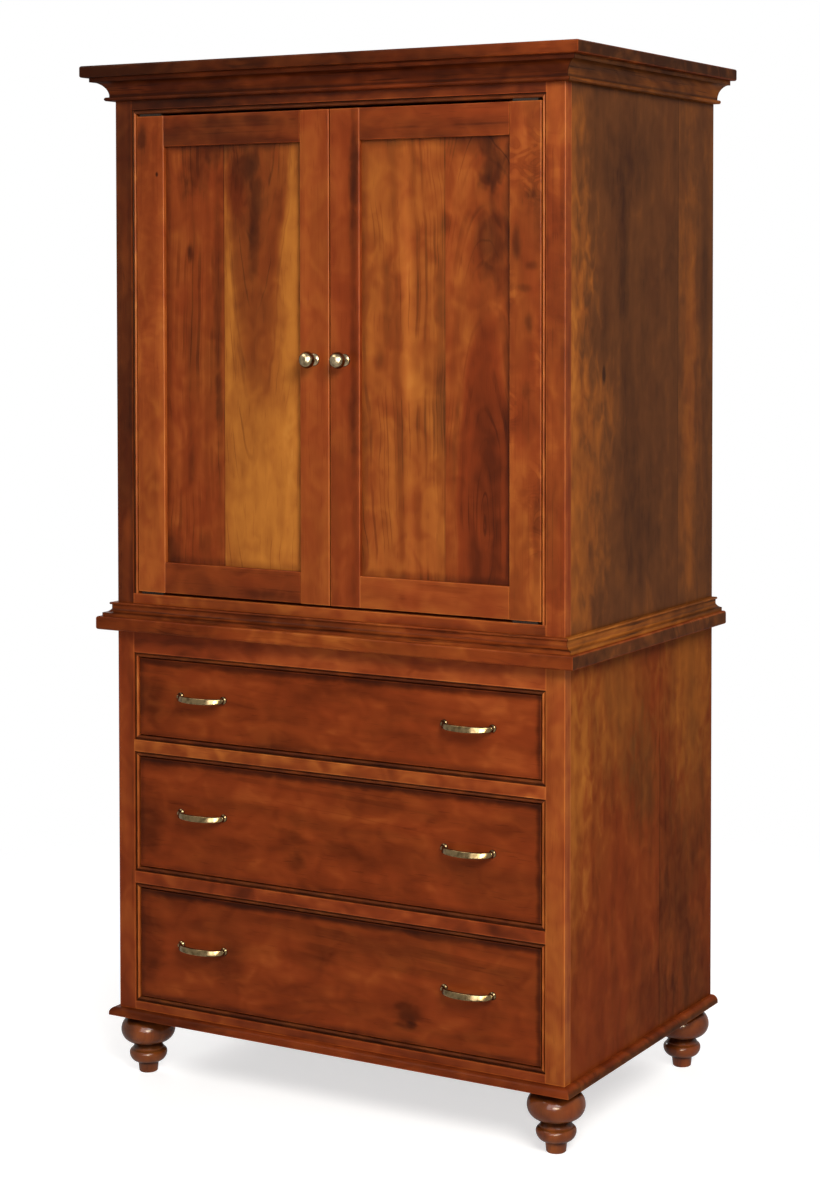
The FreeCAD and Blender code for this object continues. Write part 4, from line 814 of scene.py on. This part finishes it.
# dark brown colours that stand in for the reflection of a dark room: painted reflection
nickel = make_nickel("satin nickel, turned", (0.105, 0.074, 0.037), (0.250, 0.190, 0.112), turned=True)
knob_line = rounded_line([
    (0.0, 0.0), (0.0118, 0.0), (0.0118, 0.0030), (0.0092, 0.0048), (0.0060, 0.0085), (0.0053, 0.0135),
    (0.0062, 0.0172), (0.0130, 0.0196), (0.0161, 0.0240), (0.0160, 0.0295), (0.0128, 0.0352),
    (0.0066, 0.0388), (0.0, 0.0398),
], [0, 0, .0010, .0012, .002, .003, .002, .002, .002, .003, .003, .003, 0])
for side in ("left", "right"):
    low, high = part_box(f"door_{side}_knob")
    middle = ((low.x + high.x) / 2, high.y, (low.z + high.z) / 2)
    turned = turned_surface(f"door_{side}_knob", knob_line, middle, (0, -1, 0))
    knob = finished_piece(f"door_{side}_knob_turned", turned, 50.0)
    knob.data.materials.append(nickel)
    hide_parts(f"door_{side}_knob")
    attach(knob, f"{side}_door")

# ---------------------------------------------------------------- drawer fronts
# One wide cherry board each, 20 mm thick, grain level, screwed from inside to the drawer box.
# The finish is redder and darker here, with soft clouds, a few pin knots and one dark knot at the bottom.
front_looks = {
    # level: (tone, seed, marks)
    "top": (-0.04, 101.0, (
        (-0.045, -0.02, 0.028, 0.10, 0.12), (0.020, 0.13, 0.025, 0.07, 0.10), (0.0, -0.43, 0.05, 0.04, 0.12),
        (0.035, 0.23, 0.022, 0.05, 0.08), (0.0, 0.42, ALL, 0.10, -0.08))),
    "middle": (-0.06, 103.0, (
        (-0.010, -0.08, 0.030, 0.020, 0.10), (0.060, -0.08, 0.022, 0.022, 0.16),
        (0.030, 0.02, 0.030, 0.09, 0.08), (0.010, -0.43, 0.09, 0.035, 0.14),
        (0.080, 0.12, 0.025, 0.10, 0.10))),
    "bottom": (-0.05, 105.0, (
        (0.052, 0.165, 0.034, 0.032, 0.24), (0.070, 0.178, 0.010, 0.012, 0.26),
        (0.010, -0.24, 0.040, 0.05, 0.14), (0.0, -0.43, 0.09, 0.040, 0.16), (0.050, -0.10, 0.020, 0.10, 0.08),
        (-0.060, 0.05, 0.018, 0.13, 0.08))),
}
for level, (tone, seed, marks) in front_looks.items():
    name = f"drawer_{level}_front"
    low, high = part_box(name)
    half_high, half_wide = (high.z - low.z) / 2, (high.x - low.x) / 2
    # painted shadow: a dark band along the top, under the rail and bead, and one along the right end beside
    # the bead; the rim adds painted shade all round the recessed front
    edges = ((-half_high, 0.0, 0.013, ALL, 0.28), (0.0, half_wide, ALL, 0.010, 0.18))
    finish_board(name, "front level", label=f"drawer front {level}", tone=tone, gold=0.12, seed=seed,
                 pith_across=0.03, pith_depth=0.16, lean=0.03, bands=0.34, blotch=0.44, streak=0.48,
                 marks=marks + edges, rim=(half_high, half_wide, 0.012, 0.12), wear_and_glint_edges=True, gloss=0.34,
                 sheen=0.08)

# ---------------------------------------------------------------- drawer boxes and slide blocks
# Boxes of 13 mm hard maple with 6 mm bottoms, clear lacquered; maple blocks carry the case slides.


def make_maple(name, lie, middle, seed):
    """Pale maple: the same sawn figure in cream to tan, much fainter than in cherry."""
    material, bench = new_finish(name)
    _, space, end = board_space(bench, lie, middle)
    figured = bench.group(wood_figure, board=space, seed=seed, pith_across=0.05, pith_depth=0.12, bands=0.35,
                          blotch=0.35, streak=0.5, gold=0.5, tone=bench.times(end, -0.25))
    colour = bench.ramp(figured["Tone"], (
        (0.1, (0.30, 0.165, 0.075)), (0.5, (0.56, 0.385, 0.215)), (0.9, (0.70, 0.53, 0.33))))
    lacquer(bench, colour, figured["Dull"], figured["Height"], 0.42)
    return material


for number, (level, (low_z, high_z)) in enumerate(drawer_spans.items()):
    put_on(make_maple(f"maple box {level}", "right level", (0.45, 0.0, (low_z + high_z) / 2), 111.0 + number),
           f"drawer_{level}_box")
put_on(make_maple("maple slide blocks", "right level", (0.47, 0.0, 0.5), 117.0), "slide_blocks")

# ---------------------------------------------------------------- drawer pulls
# Cast bow pulls in satin nickel, 102 mm between feet: flared round feet, and a bow that is round at its
# ends and a flat oval band in the middle; machine screws come through the drawer front.
pull_place, pull_half, pull_reach, pull_fullness = 0.299, 0.051, 0.0255, 2.1
leg_radius, band_taller, band_thinner, band_hang, band_tilt = 0.0040, 0.0016, 0.0013, 0.002, 0.28


def bow_path(count=61):
    """Plan of the bow: the upper half of the curve |x / half| ^ n + |out / reach| ^ n = 1, n = pull_fullness.

    Gives the points (x, out) at even steps of length and each point's way along.
    """
    turn = np.linspace(math.pi, 0.0, 400)
    line = np.stack([pull_half * np.sign(np.cos(turn)) * np.abs(np.cos(turn)) ** (2 / pull_fullness),
                     pull_reach * np.abs(np.sin(turn)) ** (2 / pull_fullness)], 1)
    length = np.concatenate([[0.0], np.cumsum(np.linalg.norm(np.diff(line, axis=0), axis=1))])
    even = np.linspace(0.0, length[-1], count)
    path = np.stack([np.interp(even, length, line[:, 0]), np.interp(even, length, line[:, 1])], 1)
    way = np.gradient(path, axis=0)
    return path, way / np.linalg.norm(way, axis=1, keepdims=True)


def bow_surface(name, middle, around=28):
    """Superellipse |out / half thickness| ^ n + |up / half height| ^ n = 1 carried along the bow.

    Both halves start at leg_radius; to the middle the height grows by band_taller, the thickness shrinks by
    band_thinner, and n goes from 2 to 7, which makes a flat band that hangs low and looks a little up.
    """
    path, way = bow_path()
    share = np.sin(np.linspace(0.0, math.pi, len(path))) ** 0.4
    half_up = leg_radius + band_taller * share
    half_thick = leg_radius - band_thinner * share
    power = 2.0 / (2.0 + 5.0 * share)
    turn = np.linspace(0.0, 2 * math.pi, around, endpoint=False)
    c, s = np.cos(turn), np.sin(turn)
    out = np.sign(c) * np.abs(c) ** power[:, None] * half_thick[:, None]
    up = np.sign(s) * np.abs(s) ** power[:, None] * half_up[:, None]
    out = out - band_tilt * share[:, None] * up
    side = np.stack([-way[:, 1], way[:, 0]], 1)  # away from the drawer along the bow's middle
    x, y = (path[:, part, None] + side[:, part, None] * out for part in (0, 1))
    points = np.stack([middle[0] + x, middle[1] - y, middle[2] + up - band_hang * share[:, None]], -1)
    first_end = np.arange(around)[::-1]
    last_end = (len(path) - 1) * around + np.arange(around)
    return new_mesh(name, points.reshape(-1, 3), [*tube_faces(len(path), around), first_end, last_end])


foot_line = rounded_line([
    (0.0, 0.0), (0.0077, 0.0), (0.0077, 0.0020), (0.0060, 0.0036), (0.0045, 0.0056), (0.0038, 0.0090),
    (0.0, 0.0095),
], [0, 0, .0008, .0012, .002, .0006, 0], 5)


def one_mesh(name, meshes):
    """Several meshes as one, their points and faces put one after another."""
    points, faces = [], []
    for mesh in meshes:
        base = sum(len(p) for p in points)
        place = np.empty(len(mesh.vertices) * 3, np.float32)
        mesh.vertices.foreach_get("co", place)
        points.append(place.reshape(-1, 3))
        faces += [[base + v for v in face.vertices] for face in mesh.polygons]
        bpy.data.meshes.remove(mesh)
    return new_mesh(name, np.concatenate(points), faces)


# dark brown colours that stand in for the reflection of a dark room: painted reflection
nickel = make_nickel("satin nickel, cast", (0.068, 0.045, 0.019), (0.158, 0.108, 0.052))
for level in drawer_spans:
    low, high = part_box(f"drawer_{level}_pulls")
    y, z = high.y, (low.z + high.z) / 2
    parts = []
    for x in (-pull_place, pull_place):
        parts.append(bow_surface("bow", (x, y, z)))
        parts += [turned_surface("foot", foot_line, (x + end, y, z), (0, -1, 0), 32)
                  for end in (-pull_half, pull_half)]
    pulls = finished_piece(f"drawer_{level}_pulls_cast", one_mesh(f"drawer_{level}_pulls", parts), 45.0)
    pulls.data.materials.append(nickel)
    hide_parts(f"drawer_{level}_pulls")
    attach(pulls, f"{level}_drawer")

# ---------------------------------------------------------------- floor
# A pale round floor that fades into the white room; it keeps the soft shadow under the feet.
floor_radius, floor_sides, floor_white = 9.0, 96, 0.62
fade_from, fade_to = 0.9, 2.2  # metres from the middle of the case
turn = np.linspace(0.0, 2 * math.pi, floor_sides, endpoint=False)
rim = floor_radius * np.stack([np.cos(turn), np.sin(turn), np.zeros(floor_sides)], 1)
floor = into_scene("floor", new_mesh("floor", rim, [range(floor_sides)]))
material, bench = new_finish("pale floor")
tree = material.node_tree
away = bench.vector("LENGTH", bench.node("TexCoord", {}).outputs["Object"])
seen = bench.shown()
white = (1.0, 1.0, 1.0, 1.0)
plain = bench.node("BsdfDiffuse", {"Color": (floor_white, 0.61, 0.60, 1.0)}).outputs[0]
glow = bench.node("Emission", {"Color": white, "Strength": bench.times(seen, floor_white)}).outputs[0]
near = bench.node("AddShader", {0: plain, 1: glow}).outputs[0]
faded = bench.node("Emission", {"Color": white, "Strength": 1.0}).outputs[0]
far = bench.times(bench.step(away, fade_from, fade_to), seen)
mixed = bench.node("MixShader", {0: far, 1: near, 2: faded}).outputs[0]
tree.links.new(mixed, tree.nodes["Material Output"].inputs["Surface"])
tree.nodes.remove(tree.nodes["Principled BSDF"])
floor.data.materials.append(material)

# ---------------------------------------------------------------- light
# One large soft lamp over the camera, a tall narrow one beside it and one for the back, four bright cards
# before the front that only polished metal and lacquer mirror, and an even pale room.


def turn_to(thing, place, way):
    """Stands a lamp or camera at a place, looking that way and level."""
    thing.location = place
    thing.rotation_mode = "QUATERNION"
    thing.rotation_quaternion = Vector(way).to_track_quat("-Z", "Y")


for name, place, aim, size, power, colour, card in (
    ("key lamp", (2.8, -2.9, 3.2), (0.05, 0.0, 0.8), (2.2, 1.8), 198.0, (1.0, 0.985, 0.955), False),
    ("strip lamp", (1.75, -3.75, 1.15), (0.0, -0.3, 0.85), (0.45, 2.0), 28.0, (1.0, 1.0, 1.0), False),
    ("back lamp", (-3.1, 2.7, 2.7), (0.0, 0.3, 1.0), (2.0, 2.0), 120.0, (1.0, 1.0, 1.0), False),
    ("card 1", (0.35, -4.45, 2.3), (0.0, -0.3, 1.2), (1.35, 3.2), 140.0, (0.93, 0.96, 1.0), True),
    ("card 2", (1.85, -4.20, 2.3), (0.0, -0.3, 1.2), (1.35, 3.2), 140.0, (0.93, 0.96, 1.0), True),
    ("card over", (-1.9, -2.2, 4.0), (0.0, -0.3, 1.44), (2.2, 1.1), 60.0, (1.0, 0.95, 0.84), True),
    ("card behind", (2.62, -4.40, 1.80), (0.0, -0.3, 0.6), (1.9, 0.75), 320.0, (1.0, 0.88, 0.60), True),
):
    lamp = bpy.data.lights.new(name, "AREA")
    lamp.shape, (lamp.size, lamp.size_y) = "RECTANGLE" if card else "ELLIPSE", size
    lamp.energy, lamp.color = power, colour
    holder = into_scene(name, lamp)
    holder.visible_diffuse, holder.visible_camera = not card, False
    turn_to(holder, place, Vector(aim) - Vector(place))

room = bpy.data.worlds.new("pale room")
bpy.context.scene.world = room
room.use_nodes = True
bench = Bench(room.node_tree)
ground = room.node_tree.nodes["Background"]
room_light = 0.24  # of white; the eye and mirrors see it white
room.node_tree.links.new(bench.math("MAXIMUM", bench.shown(), room_light), ground.inputs["Strength"])
ground.inputs["Color"].default_value = white

# ---------------------------------------------------------------- camera
# Eye height 1.58 m, 4.8 m from the middle of the case and to its right, tipped down by two degrees.
wide, tall, film = 820.0, 1180.0, 36.0  # the picture in pixels, and the sensor's longer side in millimetres
focal, principal = 2402.23, (480.0, 365.67)  # pixels
yaw, pitch = math.radians(29.21), math.radians(-2.0)
lens = bpy.data.cameras.new("camera")
camera = into_scene("camera", lens)
lens.sensor_width, lens.lens, lens.clip_end = film, focal * film / tall, 100.0
lens.shift_x, lens.shift_y = (wide / 2 - principal[0]) / tall, (principal[1] - tall / 2) / tall
turn_to(camera, (2.453741, -4.106037, 1.584867),
        (-math.sin(yaw) * math.cos(pitch), math.cos(yaw) * math.cos(pitch), math.sin(pitch)))
bpy.context.scene.camera = camera
bpy.context.scene.view_settings.view_transform = "Standard"
